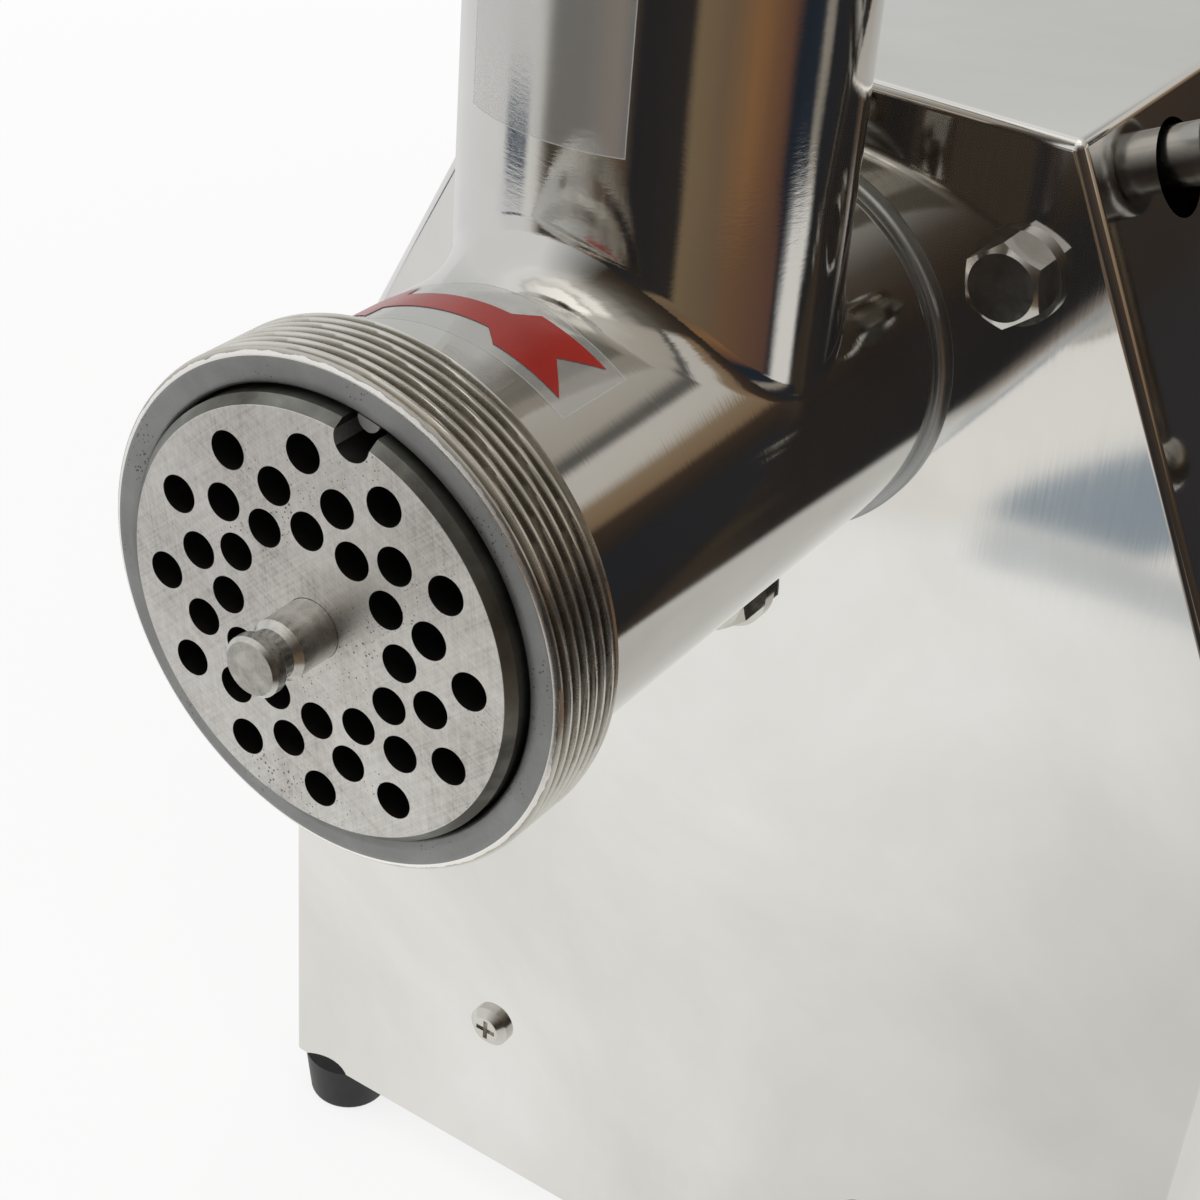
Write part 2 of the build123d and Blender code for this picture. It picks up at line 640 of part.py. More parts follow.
# Bronze bush in the shank that carries the auger's journal
with BuildPart() as auger_bushing:
    ring(JOURNAL_RADIUS + RUNNING_FIT, BUSHING_RADIUS - SEAT_FIT, BORE_END_Y, SHANK_END_Y - BORE_END_Y - 2)
save(auger_bushing, "auger_bushing")

# Lock pad that presses on the shank, with the lock screw behind it
pad_start = LOCK_SEAT + SEAT_FIT
stem_start = pad_start + LOCK_PAD_LENGTH + TOUCH_GAP
hub_start = LOCK_PANEL_REACH + LOCK_STEM_OUT
with BuildPart() as lock_pad:
    lock_rod(LOCK_STEM_RADIUS - SEAT_FIT, pad_start, LOCK_PAD_LENGTH)
save(lock_pad, "lock_pad")

with BuildPart() as lock_screw:
    lock_rod(LOCK_STEM_RADIUS, stem_start, hub_start - stem_start)
    lock_rod(LOCK_HUB_RADIUS, hub_start, LOCK_HUB_LENGTH)
    hub_edges = lock_screw.edges().filter_by(GeomType.CIRCLE).sort_by(SortBy.RADIUS)[-2:]
    fillet(hub_edges, LOCK_HUB_ROUND)
    with BuildSketch(bar_plane(0)) as bar_hole:
        Circle(BAR_RADIUS + RUNNING_FIT)
    extrude(bar_hole.sketch, amount=LOCK_HUB_RADIUS + 1, both=True, mode=Mode.SUBTRACT)
save(lock_screw, "lock_screw")

# Sliding cross bar through the lock screw's hub, dropped until its upper ball rests on the hub
bar_top = LOCK_HUB_RADIUS + BAR_BALL_RADIUS + TOUCH_GAP
with BuildPart() as tommy_bar:
    with BuildSketch(bar_plane(bar_top)) as bar_face:
        Circle(BAR_RADIUS)
    extrude(bar_face.sketch, amount=-BAR_LENGTH)
    with Locations(bar_plane(bar_top), bar_plane(bar_top - BAR_LENGTH)):
        Sphere(BAR_BALL_RADIUS)
save(tommy_bar, "tommy_bar")

# Housing shell: front, sides, shoulders and top of one welded sheet, with lips for the rear panel
with BuildPart() as shell_room:
    extrude(house_face(SHEET, EDGE_Z - 1, INSIDE_Y), amount=-(BODY_DEPTH + 1))
    long_edges = shell_room.edges().filter_by(Axis.Y)
    fillet(long_edges.filter_by(lambda edge: edge.center().Z > EDGE_Z), BEND_RADIUS - SHEET)
    front_edges = shell_room.faces().sort_by(Axis.Y)[0].edges()
    fillet(front_edges.filter_by(lambda edge: edge.center().Z > EDGE_Z), BEND_RADIUS - SHEET)

with BuildPart() as housing_shell:
    extrude(house_face(0, EDGE_Z, PANEL_Y), amount=-BODY_DEPTH)
    long_edges = housing_shell.edges().filter_by(Axis.Y)
    fillet(long_edges.filter_by(lambda edge: edge.center().Z > EDGE_Z + 1), BEND_RADIUS)
    front_edges = housing_shell.faces().sort_by(Axis.Y)[0].edges()
    fillet(front_edges.filter_by(lambda edge: edge.center().Z > EDGE_Z + 1), BEND_RADIUS)
    add(shell_room.part, mode=Mode.SUBTRACT)
    lip_y = REAR_PANEL_Y - SHEET_GAP - SHEET
    lips = house_face(SHEET / 2, EDGE_Z + BASE_FLANGE + 2, lip_y)
    lip_hole = house_face(SHEET + REAR_LIP, EDGE_Z, lip_y)
    extrude(lips - lip_hole, amount=-SHEET)
    with BuildSketch(cross_plane(lip_y)) as lip_screw_holes:
        with Locations(*LIP_SCREWS):
            Circle(REAR_SCREW_RADIUS + SEAT_FIT)
    extrude(lip_screw_holes.sketch, amount=-SHEET, mode=Mode.SUBTRACT)
    with BuildSketch(cross_plane(PANEL_Y)) as front_holes:
        with Locations((0, AXIS_Z)):
            Circle(SHANK_RADIUS + SHEET_GAP)
        with Locations(*[(x, AXIS_Z + z) for x, z in FLANGE_BOLTS]):
            Circle(BOLT_RADIUS + SHEET_GAP)
        with Locations(*[(x, PANEL_SCREW_Z) for x in (-PANEL_SCREW_X, PANEL_SCREW_X)]):
            Circle(PAN_SHANK_RADIUS + SHEET_GAP)
    extrude(front_holes.sketch, amount=-2 * SHEET, both=True, mode=Mode.SUBTRACT)
    with BuildSketch(slope_plane(LOCK_HOLE_DOWN_SLOPE, LOCK_BEHIND_PANEL)) as lock_hole:
        Circle(LOCK_HOLE_RADIUS)
    extrude(lock_hole.sketch, amount=2 * SHEET, both=True, mode=Mode.SUBTRACT)
save(housing_shell, "housing_shell")

# Rear panel with vents and cut-outs for the switch, the breaker and the cord gland
SWITCH_Z = AXIS_Z - SWITCH_BELOW_AXIS
GLAND_Z = EDGE_Z + GLAND_ABOVE_EDGE
VENT_Z = AXIS_Z - VENT_BELOW_AXIS
with BuildPart() as rear_panel:
    extrude(house_face(SHEET + SHEET_GAP, EDGE_Z, REAR_PANEL_Y), amount=-REAR_PANEL_THICK)
    top_edges = rear_panel.edges().filter_by(Axis.Y)
    fillet(top_edges.filter_by(lambda edge: edge.center().Z > EDGE_Z + 1), BEND_RADIUS - SHEET)
    with BuildSketch(cross_plane(REAR_PANEL_Y)) as rear_holes:
        with Locations((0, VENT_Z)):
            with GridLocations(2 * VENT_X, VENT_PITCH, 2, VENT_ROWS):
                SlotOverall(VENT_LENGTH, VENT_WIDTH)
        with Locations((SWITCH_X, SWITCH_Z)):
            Rectangle(SWITCH_WIDTH + 2 * SHEET_GAP, SWITCH_HEIGHT + 2 * SHEET_GAP)
        with Locations((RESET_X, SWITCH_Z)):
            Circle(RESET_NECK_RADIUS + SHEET_GAP)
        with Locations((GLAND_X, GLAND_Z)):
            Circle(GLAND_RADIUS + SHEET_GAP)
        with Locations(*LIP_SCREWS, *BASE_SCREWS):
            Circle(REAR_SCREW_RADIUS + SHEET_GAP)
    extrude(rear_holes.sketch, amount=-REAR_PANEL_THICK, mode=Mode.SUBTRACT)
save(rear_panel, "rear_panel")

# Base plate with four upturned flanges
BASE_FRONT_Y = INSIDE_Y + SHEET_GAP
BASE_REAR_Y = REAR_PANEL_Y - SHEET_GAP
base_width = 2 * (BODY_HALF_WIDTH - SHEET - SHEET_GAP)
base_length = BASE_REAR_Y - BASE_FRONT_Y
base_middle = (BASE_FRONT_Y + BASE_REAR_Y) / 2
cradle_screw_x = CRADLE_HALF_WIDTH - CRADLE_LEG / 2
cradle_screw_y = (CRADLE_Y + CRADLE_SCREW_EDGE, CRADLE_Y + CRADLE_LENGTH - CRADLE_SCREW_EDGE)
CRADLE_SCREWS = [(x, y) for x in (-cradle_screw_x, cradle_screw_x) for y in cradle_screw_y]
with BuildPart() as base_plate:
    with BuildSketch(Plane.XY.offset(EDGE_Z)) as floor_face:
        with Locations((0, base_middle)):
            RectangleRounded(base_width, base_length, BEND_RADIUS)
    extrude(floor_face.sketch, amount=BASE_SHEET)
    with BuildSketch(Plane.XY.offset(EDGE_Z)) as front_rear_flanges:
        for y in (BASE_FRONT_Y + BASE_SHEET / 2, BASE_REAR_Y - BASE_SHEET / 2):
            with Locations((0, y)):
                Rectangle(base_width - 2 * BEND_RADIUS, BASE_SHEET)
    extrude(front_rear_flanges.sketch, amount=BASE_FLANGE)
    with BuildSketch(Plane.XY.offset(EDGE_Z)) as side_flanges:
        for x in (-(base_width - BASE_SHEET) / 2, (base_width - BASE_SHEET) / 2):
            with Locations((x, base_middle)):
                Rectangle(BASE_SHEET, base_length - 2 * BEND_RADIUS)
    extrude(side_flanges.sketch, amount=BASE_SIDE_FLANGE)
    with BuildSketch(Plane.XY.offset(EDGE_Z)) as floor_holes:
        with Locations(*FOOT_PLACES):
            Circle(FOOT_SCREW_RADIUS + SEAT_FIT)
        with Locations(*CRADLE_SCREWS):
            Circle(PAN_SHANK_RADIUS + SEAT_FIT)
    extrude(floor_holes.sketch, amount=BASE_SHEET, mode=Mode.SUBTRACT)
    for x in (-PANEL_SCREW_X, PANEL_SCREW_X):
        rod(PAN_SHANK_RADIUS + SEAT_FIT, BASE_FRONT_Y, BASE_SHEET, PANEL_SCREW_Z, x, mode=Mode.SUBTRACT)
    for x, z in BASE_SCREWS:
        rod(REAR_SCREW_RADIUS + SEAT_FIT, BASE_REAR_Y - BASE_SHEET, BASE_SHEET, z, x, mode=Mode.SUBTRACT)
save(base_plate, "base_plate")

# Four tapered rubber feet, each on a recessed screw and nut
with BuildPart() as rubber_feet:
    with Locations(*[(x, y, FOOT_HEIGHT / 2) for x, y in FOOT_PLACES]):
        Cone(FOOT_BOTTOM_RADIUS, FOOT_TOP_RADIUS, FOOT_HEIGHT)
    fillet(rubber_feet.faces().filter_by(Axis.Z).group_by(Axis.Z)[0].edges(), FOOT_ROUND)
    with Locations(*[(x, y, FOOT_RECESS_DEPTH / 2) for x, y in FOOT_PLACES]):
        Cylinder(FOOT_RECESS_RADIUS, FOOT_RECESS_DEPTH, mode=Mode.SUBTRACT)
    with Locations(*[(x, y, FOOT_HEIGHT / 2) for x, y in FOOT_PLACES]):
        Cylinder(FOOT_SCREW_RADIUS + SHEET_GAP, FOOT_HEIGHT, mode=Mode.SUBTRACT)
save(rubber_feet, "rubber_feet")

foot_screw_top = BASE_TOP_Z + FOOT_NUT_THICK + 1
with BuildPart() as foot_screws:
    with Locations(*[(x, y, FOOT_RECESS_DEPTH - FOOT_SCREW_HEAD / 2) for x, y in FOOT_PLACES]):
        Cylinder(FOOT_RECESS_RADIUS - 1, FOOT_SCREW_HEAD)
    shank_middle = (FOOT_RECESS_DEPTH - 1 + foot_screw_top) / 2
    with Locations(*[(x, y, shank_middle) for x, y in FOOT_PLACES]):
        Cylinder(FOOT_SCREW_RADIUS, foot_screw_top - FOOT_RECESS_DEPTH + 1)
save(foot_screws, "foot_screws")

with BuildPart() as foot_nuts:
    with BuildSketch(Plane.XY.offset(BASE_TOP_Z)) as nut_faces:
        with Locations(*FOOT_PLACES):
            RegularPolygon(FOOT_NUT_HEX / 2, 6, major_radius=False)
            Circle(FOOT_SCREW_RADIUS + SEAT_FIT, mode=Mode.SUBTRACT)
    extrude(nut_faces.sketch, amount=FOOT_NUT_THICK)
save(foot_nuts, "foot_nuts")

# Screws that hold the front panel to the base plate
with BuildPart() as panel_screws:
    for x in (-PANEL_SCREW_X, PANEL_SCREW_X):
        sizes = (PAN_HEAD_RADIUS, PAN_HEAD_HEIGHT, PAN_SHANK_RADIUS, PAN_LENGTH)
        pan_screw(x, PANEL_Y, PANEL_SCREW_Z, *sizes, True)
save(panel_screws, "panel_screws")

# Screws round the rear panel
with BuildPart() as rear_screws:
    for x, z in LIP_SCREWS + BASE_SCREWS:
        sizes = (REAR_SCREW_HEAD, REAR_SCREW_HEAD_HEIGHT, REAR_SCREW_RADIUS, PAN_LENGTH)
        pan_screw(x, REAR_Y, z, *sizes, False)
save(rear_screws, "rear_screws")

# Flange bolts and their washers
with BuildPart() as flange_washers:
    for x, z in FLANGE_BOLTS:
        washer_y = PANEL_Y - BOLT_WASHER_THICK
        ring(BOLT_RADIUS + SEAT_FIT, BOLT_WASHER_RADIUS, washer_y, BOLT_WASHER_THICK, AXIS_Z + z, x)
save(flange_washers, "flange_washers")

bolt_head_y = PANEL_Y - BOLT_WASHER_THICK - BOLT_HEAD
with BuildPart() as flange_bolts:
    with BuildSketch(cross_plane(bolt_head_y)) as bolt_heads:
        with Locations(*[(x, AXIS_Z + z) for x, z in FLANGE_BOLTS]):
            RegularPolygon(BOLT_HEX / 2, 6, major_radius=False, rotation=BOLT_HEX_TURN)
    extrude(bolt_heads.sketch, amount=-BOLT_HEAD)
    for x, z in FLANGE_BOLTS:
        turn(
            [
                (bolt_head_y - 1, 0),
                (bolt_head_y - 1, BOLT_HEX),
                (bolt_head_y + BOLT_HEAD, BOLT_HEX),
                (bolt_head_y + 1.2, BOLT_HEX / 2 + 1.4),
                (bolt_head_y, BOLT_HEX / 2 - 0.6),
                (bolt_head_y, 0),
            ],
            AXIS_Z + z,
            x,
            mode=Mode.SUBTRACT,
        )
        rod(BOLT_RADIUS, bolt_head_y + 1, BOLT_HEAD + BOLT_WASHER_THICK + FLANGE_THICK - 1, AXIS_Z + z, x)
save(flange_bolts, "flange_bolts")

# Gearbox casting: flange, neck for the head's shank, lock boss and gear case
def hull_face(circles, y):
    """A face wrapped round a set of (x, height, radius) circles, square to Y."""
    with BuildSketch(cross_plane(y)) as face:
        with BuildLine():
            for x, height, radius in circles:
                CenterArc((x, height), radius, 0, 360)
        make_hull()
    return face.sketch


output_tip = STAGE_2_MODULE * (OUTPUT_TEETH + 2) / 2
counter_tip = STAGE_1_MODULE * (COUNTER_TEETH + 2) / 2
motor_tip = STAGE_1_MODULE * (MOTOR_TEETH + 2) / 2
room_circles = [
    (0, AXIS_Z, output_tip + GEAR_ROOM),
    (0, COUNTER_Z, counter_tip + GEAR_ROOM),
    (0, MOTOR_Z, motor_tip + GEAR_ROOM),
]
case_circles = [(x, height, radius + CASE_SIDE) for x, height, radius in room_circles]
boss_x = output_tip + GEAR_ROOM + CASE_SIDE + 3
boss_low = motor_tip + GEAR_ROOM + CASE_SIDE + 3
COVER_SCREWS = [(side * boss_x, AXIS_Z) for side in (-1, 1)]
COVER_SCREWS += [(side * (boss_x - 2), AXIS_Z - COVER_SCREW_DROP) for side in (-1, 1)]
COVER_SCREWS += [(side * boss_low / sqrt(2), MOTOR_Z - boss_low / sqrt(2)) for side in (-1, 1)]
flange_circles = [(0, AXIS_Z, FLANGE_RADIUS)]
flange_circles += [(x, AXIS_Z + z, FLANGE_EAR_RADIUS) for x, z in FLANGE_BOLTS]
BEARING_END_Y = BEARING_Y + BEARING_WIDTH
case_bore = SHANK_RADIUS + RUNNING_FIT
counter_bush_outer = COUNTER_SHAFT_RADIUS + COUNTER_BUSH_WALL
counter_seat = counter_bush_outer + SEAT_FIT

with BuildPart() as gearbox_housing:
    extrude(hull_face(flange_circles, INSIDE_Y), amount=-FLANGE_THICK)
    rod(NECK_RADIUS, INSIDE_Y, CASE_Y - INSIDE_Y + 1)
    extrude(hull_face(case_circles, CASE_Y), amount=-(COVER_Y - CASE_Y))
    for x, z in COVER_SCREWS:
        rod(COVER_BOSS_RADIUS, COVER_Y - COVER_BOSS_LENGTH, COVER_BOSS_LENGTH, z, x)
    lock_rod(LOCK_BOSS_RADIUS, SHANK_RADIUS, LOCK_PANEL_REACH - LOCK_BOSS_SETBACK - SHANK_RADIUS)
    extrude(hull_face(room_circles, SPACE_Y), amount=-CASE_SPACE, mode=Mode.SUBTRACT)
    rod(case_bore, INSIDE_Y, BEARING_END_Y - INSIDE_Y, mode=Mode.SUBTRACT)
    rod(OUTPUT_SHAFT_RADIUS + 3, BEARING_END_Y, SPACE_Y - BEARING_END_Y, mode=Mode.SUBTRACT)
    rod(counter_seat, SPACE_Y - COUNTER_BUSH_LENGTH, COUNTER_BUSH_LENGTH, COUNTER_Z, mode=Mode.SUBTRACT)
    lock_rod(LOCK_STEM_RADIUS + RUNNING_FIT, LOCK_SEAT, LOCK_PANEL_REACH - LOCK_SEAT, mode=Mode.SUBTRACT)
    for x, z in FLANGE_BOLTS:
        rod(BOLT_RADIUS + SEAT_FIT, INSIDE_Y, FLANGE_THICK, AXIS_Z + z, x, mode=Mode.SUBTRACT)
    for x, z in COVER_SCREWS:
        screw_y = COVER_Y - COVER_SCREW_LENGTH
        rod(COVER_SCREW_RADIUS + SEAT_FIT, screw_y, COVER_SCREW_LENGTH, z, x, mode=Mode.SUBTRACT)
save(gearbox_housing, "gearbox_housing")

# Gearbox cover, which also carries the motor
TIE_BOLTS = [
    (TIE_BOLT_CIRCLE * across / sqrt(2), MOTOR_Z + TIE_BOLT_CIRCLE * up / sqrt(2))
    for across in (-1, 1)
    for up in (-1, 1)
]
cover_circles = case_circles[:1] + [(0, MOTOR_Z, MOTOR_RADIUS + 1)]
cover_circles += [(x, z, COVER_BOSS_RADIUS) for x, z in COVER_SCREWS]
with BuildPart() as gearbox_cover:
    extrude(hull_face(cover_circles, COVER_Y), amount=-COVER_THICK)
    rod(OUTPUT_SHAFT_RADIUS + REAR_BUSH_WALL + SEAT_FIT, COVER_Y, COVER_THICK, mode=Mode.SUBTRACT)
    rod(counter_seat, COVER_Y, COVER_THICK, COUNTER_Z, mode=Mode.SUBTRACT)
    rod(MOTOR_NOSE_HOLE, COVER_Y, COVER_THICK, MOTOR_Z, mode=Mode.SUBTRACT)
    for x, z in COVER_SCREWS:
        rod(COVER_SCREW_RADIUS + SHEET_GAP, COVER_Y, COVER_THICK, z, x, mode=Mode.SUBTRACT)
        head_y = COVER_BACK_Y - COVER_SCREW_HEAD_HEIGHT
        rod(COVER_SCREW_HEAD + SHEET_GAP, head_y, COVER_SCREW_HEAD_HEIGHT, z, x, mode=Mode.SUBTRACT)
    for x, z in TIE_BOLTS:
        rod(TIE_BOLT_RADIUS + SEAT_FIT, COVER_BACK_Y - TIE_BOLT_GRIP, TIE_BOLT_GRIP, z, x, mode=Mode.SUBTRACT)
save(gearbox_cover, "gearbox_cover")

with BuildPart() as cover_screws:
    for x, z in COVER_SCREWS:
        screw_under = COVER_BACK_Y - COVER_SCREW_HEAD_HEIGHT
        rod(COVER_SCREW_HEAD, screw_under, COVER_SCREW_HEAD_HEIGHT - SHEET_GAP, z, x)
        screw_tip = COVER_Y - COVER_SCREW_LENGTH + 1
        rod(COVER_SCREW_RADIUS, screw_tip, screw_under + 1 - screw_tip, z, x)
save(cover_screws, "cover_screws")

# Output shaft with the square socket that turns the auger, its gear, bearings and seal
with BuildPart() as output_shaft:
    rod(OUTPUT_SHAFT_RADIUS, SEAL_Y, COVER_BACK_Y - 1 - SEAL_Y)
    square_bar(DRIVE_SQUARE + 2 * SEAT_FIT, SEAL_Y, TANG_LENGTH - 1, mode=Mode.SUBTRACT)
save(output_shaft, "output_shaft")

with BuildPart() as output_gear:
    output_plane = Plane(origin=(0, STAGE_2_Y + 1, AXIS_Z), x_dir=(1, 0, 0), z_dir=(0, -1, 0))
    extrude(gear_face(output_plane, OUTPUT_TEETH, STAGE_2_MODULE, -90), amount=-OUTPUT_FACE)
    rod(OUTPUT_SHAFT_RADIUS + SEAT_FIT, STAGE_2_Y + 1, OUTPUT_FACE, mode=Mode.SUBTRACT)
save(output_gear, "output_gear")

with BuildPart() as shaft_seal:
    ring(OUTPUT_SHAFT_RADIUS + RUNNING_FIT, SHANK_RADIUS + SEAT_FIT, SEAL_Y, SEAL_THICK)
save(shaft_seal, "shaft_seal")

with BuildPart() as output_bearings:
    ring(OUTPUT_SHAFT_RADIUS + RUNNING_FIT, SHANK_RADIUS + SEAT_FIT, BEARING_Y, BEARING_WIDTH)
    ring(OUTPUT_SHAFT_RADIUS + RUNNING_FIT, OUTPUT_SHAFT_RADIUS + REAR_BUSH_WALL, COVER_Y, COVER_THICK)
save(output_bearings, "output_bearings")

# Countershaft with its pinion, the large gear beside it and two bushes
half_tooth = 180 / PINION_TEETH
with BuildPart() as countershaft:
    counter_plane = Plane(origin=(0, STAGE_2_Y, COUNTER_Z), x_dir=(1, 0, 0), z_dir=(0, -1, 0))
    extrude(gear_face(counter_plane, PINION_TEETH, STAGE_2_MODULE, 90 + half_tooth), amount=-PINION_FACE)
    shaft_start = SPACE_Y - COUNTER_BUSH_LENGTH + 1
    rod(COUNTER_SHAFT_RADIUS, shaft_start, COVER_BACK_Y - 1 - shaft_start, COUNTER_Z)
save(countershaft, "countershaft")

with BuildPart() as counter_gear:
    large_plane = Plane(origin=(0, STAGE_1_Y, COUNTER_Z), x_dir=(1, 0, 0), z_dir=(0, -1, 0))
    extrude(gear_face(large_plane, COUNTER_TEETH, STAGE_1_MODULE, -90), amount=-COUNTER_FACE)
    rod(COUNTER_SHAFT_RADIUS + SEAT_FIT, STAGE_1_Y, COUNTER_FACE, COUNTER_Z, mode=Mode.SUBTRACT)
save(counter_gear, "counter_gear")

counter_bore = COUNTER_SHAFT_RADIUS + RUNNING_FIT
with BuildPart() as counter_bushes:
    ring(counter_bore, counter_bush_outer, SPACE_Y - COUNTER_BUSH_LENGTH, COUNTER_BUSH_LENGTH, COUNTER_Z)
    ring(counter_bore, counter_bush_outer, COVER_Y, COVER_THICK, COUNTER_Z)
save(counter_bushes, "counter_bushes")

# Motor: shaft with its pinion, rotor, stator, windings, bells, shell, bearings, tie bolts and fan
FAN_END_Y = FAN_Y + FAN_WIDTH
pinion_y = STAGE_1_Y - 1
with BuildPart() as motor_shaft:
    motor_plane = Plane(origin=(0, pinion_y, MOTOR_Z), x_dir=(1, 0, 0), z_dir=(0, -1, 0))
    extrude(gear_face(motor_plane, MOTOR_TEETH, STAGE_1_MODULE, 90 + 180 / MOTOR_TEETH), amount=-MOTOR_FACE)
    rod(MOTOR_SHAFT_RADIUS, pinion_y, FAN_END_Y - pinion_y, MOTOR_Z)
save(motor_shaft, "motor_shaft")

with BuildPart() as rotor_core:
    ring(MOTOR_SHAFT_RADIUS + SEAT_FIT, STATOR_BORE - ROTOR_GAP, CORE_Y, CORE_LENGTH, MOTOR_Z)
save(rotor_core, "rotor_core")

with BuildPart() as stator_core:
    ring(STATOR_BORE, MOTOR_RADIUS - MOTOR_SHELL_WALL - SEAT_FIT, CORE_Y, CORE_LENGTH, MOTOR_Z)
    for x, z in TIE_BOLTS:
        rod(TIE_BOLT_RADIUS + SHEET_GAP, CORE_Y, CORE_LENGTH, z, x, mode=Mode.SUBTRACT)
save(stator_core, "stator_core")

with BuildPart() as stator_windings:
    ring(WINDING_INNER, WINDING_OUTER, CORE_Y - WINDING_LENGTH, WINDING_LENGTH, MOTOR_Z)
    ring(WINDING_INNER, WINDING_OUTER, CORE_Y + CORE_LENGTH, WINDING_LENGTH, MOTOR_Z)
save(stator_windings, "stator_windings")

with BuildPart() as motor_shell:
    ring(MOTOR_RADIUS - MOTOR_SHELL_WALL, MOTOR_RADIUS, BELL_END_Y, SHELL_LENGTH, MOTOR_Z)
save(motor_shell, "motor_shell")


def bell_outline(open_y, way, lip_radius, depth):
    """A bell's section from its open rim at open_y towards its closed end."""
    closed = open_y + way * depth
    seat = closed - way * BELL_LIP
    seat_end = seat - way * MOTOR_BEARING_WIDTH
    bearing = MOTOR_BEARING_RADIUS + SEAT_FIT
    hub = MOTOR_BEARING_RADIUS + BELL_HUB_WALL
    inside = closed - way * BELL_WALL
    rim = MOTOR_RADIUS - BELL_RIM
    return [
        (closed, lip_radius),
        (closed, MOTOR_RADIUS),
        (open_y, MOTOR_RADIUS),
        (open_y, rim),
        (inside, rim),
        (inside, hub),
        (seat_end, hub),
        (seat_end, bearing),
        (seat, bearing),
        (seat, lip_radius),
    ]


with BuildPart() as motor_front_bell:
    turn(bell_outline(BELL_END_Y, -1, MOTOR_NOSE_HOLE, FRONT_BELL), MOTOR_Z)
    for x, z in TIE_BOLTS:
        rod(TIE_BOLT_RADIUS + SHEET_GAP, COVER_BACK_Y, FRONT_BELL, z, x, mode=Mode.SUBTRACT)
save(motor_front_bell, "motor_front_bell")

with BuildPart() as motor_rear_bell:
    turn(bell_outline(SHELL_END_Y, 1, MOTOR_SHAFT_RADIUS + 2, REAR_BELL), MOTOR_Z)
    for x, z in TIE_BOLTS:
        rod(TIE_BOLT_RADIUS + SHEET_GAP, SHELL_END_Y, REAR_BELL, z, x, mode=Mode.SUBTRACT)
save(motor_rear_bell, "motor_rear_bell")

with BuildPart() as motor_bearings:
    for y in (COVER_BACK_Y + BELL_LIP, MOTOR_END_Y - BELL_LIP - MOTOR_BEARING_WIDTH):
        ring(MOTOR_SHAFT_RADIUS + RUNNING_FIT, MOTOR_BEARING_RADIUS, y, MOTOR_BEARING_WIDTH, MOTOR_Z)
save(motor_bearings, "motor_bearings")

with BuildPart() as motor_tie_bolts:
    with BuildSketch(cross_plane(MOTOR_END_Y)) as tie_heads:
        with Locations(*TIE_BOLTS):
            RegularPolygon(TIE_BOLT_HEX / 2, 6, major_radius=False)
    extrude(tie_heads.sketch, amount=-TIE_BOLT_HEAD)
    for x, z in TIE_BOLTS:
        tie_start = COVER_BACK_Y - TIE_BOLT_GRIP + 1
        rod(TIE_BOLT_RADIUS, tie_start, MOTOR_END_Y + 1 - tie_start, z, x)
save(motor_tie_bolts, "motor_tie_bolts")

with BuildPart() as cooling_fan:
    rod(FAN_RADIUS, FAN_Y, FAN_BLADE_THICK, MOTOR_Z)
    rod(FAN_HUB_RADIUS, FAN_Y, FAN_WIDTH, MOTOR_Z)
    with BuildSketch(cross_plane(FAN_Y)) as vanes:
        with Locations((0, MOTOR_Z)):
            with PolarLocations((FAN_RADIUS + FAN_HUB_RADIUS) / 2 - 1, FAN_BLADES):
                Rectangle(FAN_RADIUS - FAN_HUB_RADIUS, FAN_BLADE_THICK)
    extrude(vanes.sketch, amount=-FAN_WIDTH)
    rod(MOTOR_SHAFT_RADIUS + SEAT_FIT, FAN_Y, FAN_WIDTH, MOTOR_Z, mode=Mode.SUBTRACT)
save(cooling_fan, "cooling_fan")

# Cradle that stands the motor on the base plate
cradle_top = MOTOR_Z - MOTOR_RADIUS + CRADLE_WRAP
window_top = MOTOR_Z - MOTOR_RADIUS - CRADLE_WALL
window_low = BASE_TOP_Z + CRADLE_WALL
with BuildPart() as motor_cradle:
    with BuildSketch(cross_plane(CRADLE_Y)) as cradle_face:
        with Locations((0, (cradle_top + BASE_TOP_Z) / 2)):
            Rectangle(2 * CRADLE_HALF_WIDTH, cradle_top - BASE_TOP_Z)
        with Locations((0, (window_top + window_low) / 2)):
            Rectangle(2 * (CRADLE_HALF_WIDTH - CRADLE_LEG), window_top - window_low, mode=Mode.SUBTRACT)
        with Locations((0, MOTOR_Z)):
            Circle(MOTOR_RADIUS + SEAT_FIT, mode=Mode.SUBTRACT)
    extrude(cradle_face.sketch, amount=-CRADLE_LENGTH)
    with BuildSketch(Plane.XY.offset(BASE_TOP_Z)) as cradle_holes:
        with Locations(*CRADLE_SCREWS):
            Circle(PAN_SHANK_RADIUS + SEAT_FIT)
    extrude(cradle_holes.sketch, amount=CRADLE_SCREW_LENGTH, mode=Mode.SUBTRACT)
save(motor_cradle, "motor_cradle")

with BuildPart() as cradle_screws:
    with Locations(*[(x, y, EDGE_Z - PAN_HEAD_HEIGHT / 2) for x, y in CRADLE_SCREWS]):
        Cylinder(PAN_HEAD_RADIUS, PAN_HEAD_HEIGHT)
    with Locations(*[(x, y, EDGE_Z + CRADLE_SCREW_LENGTH / 2 - 0.5) for x, y in CRADLE_SCREWS]):
        Cylinder(PAN_SHANK_RADIUS, CRADLE_SCREW_LENGTH + 1)
save(cradle_screws, "cradle_screws")

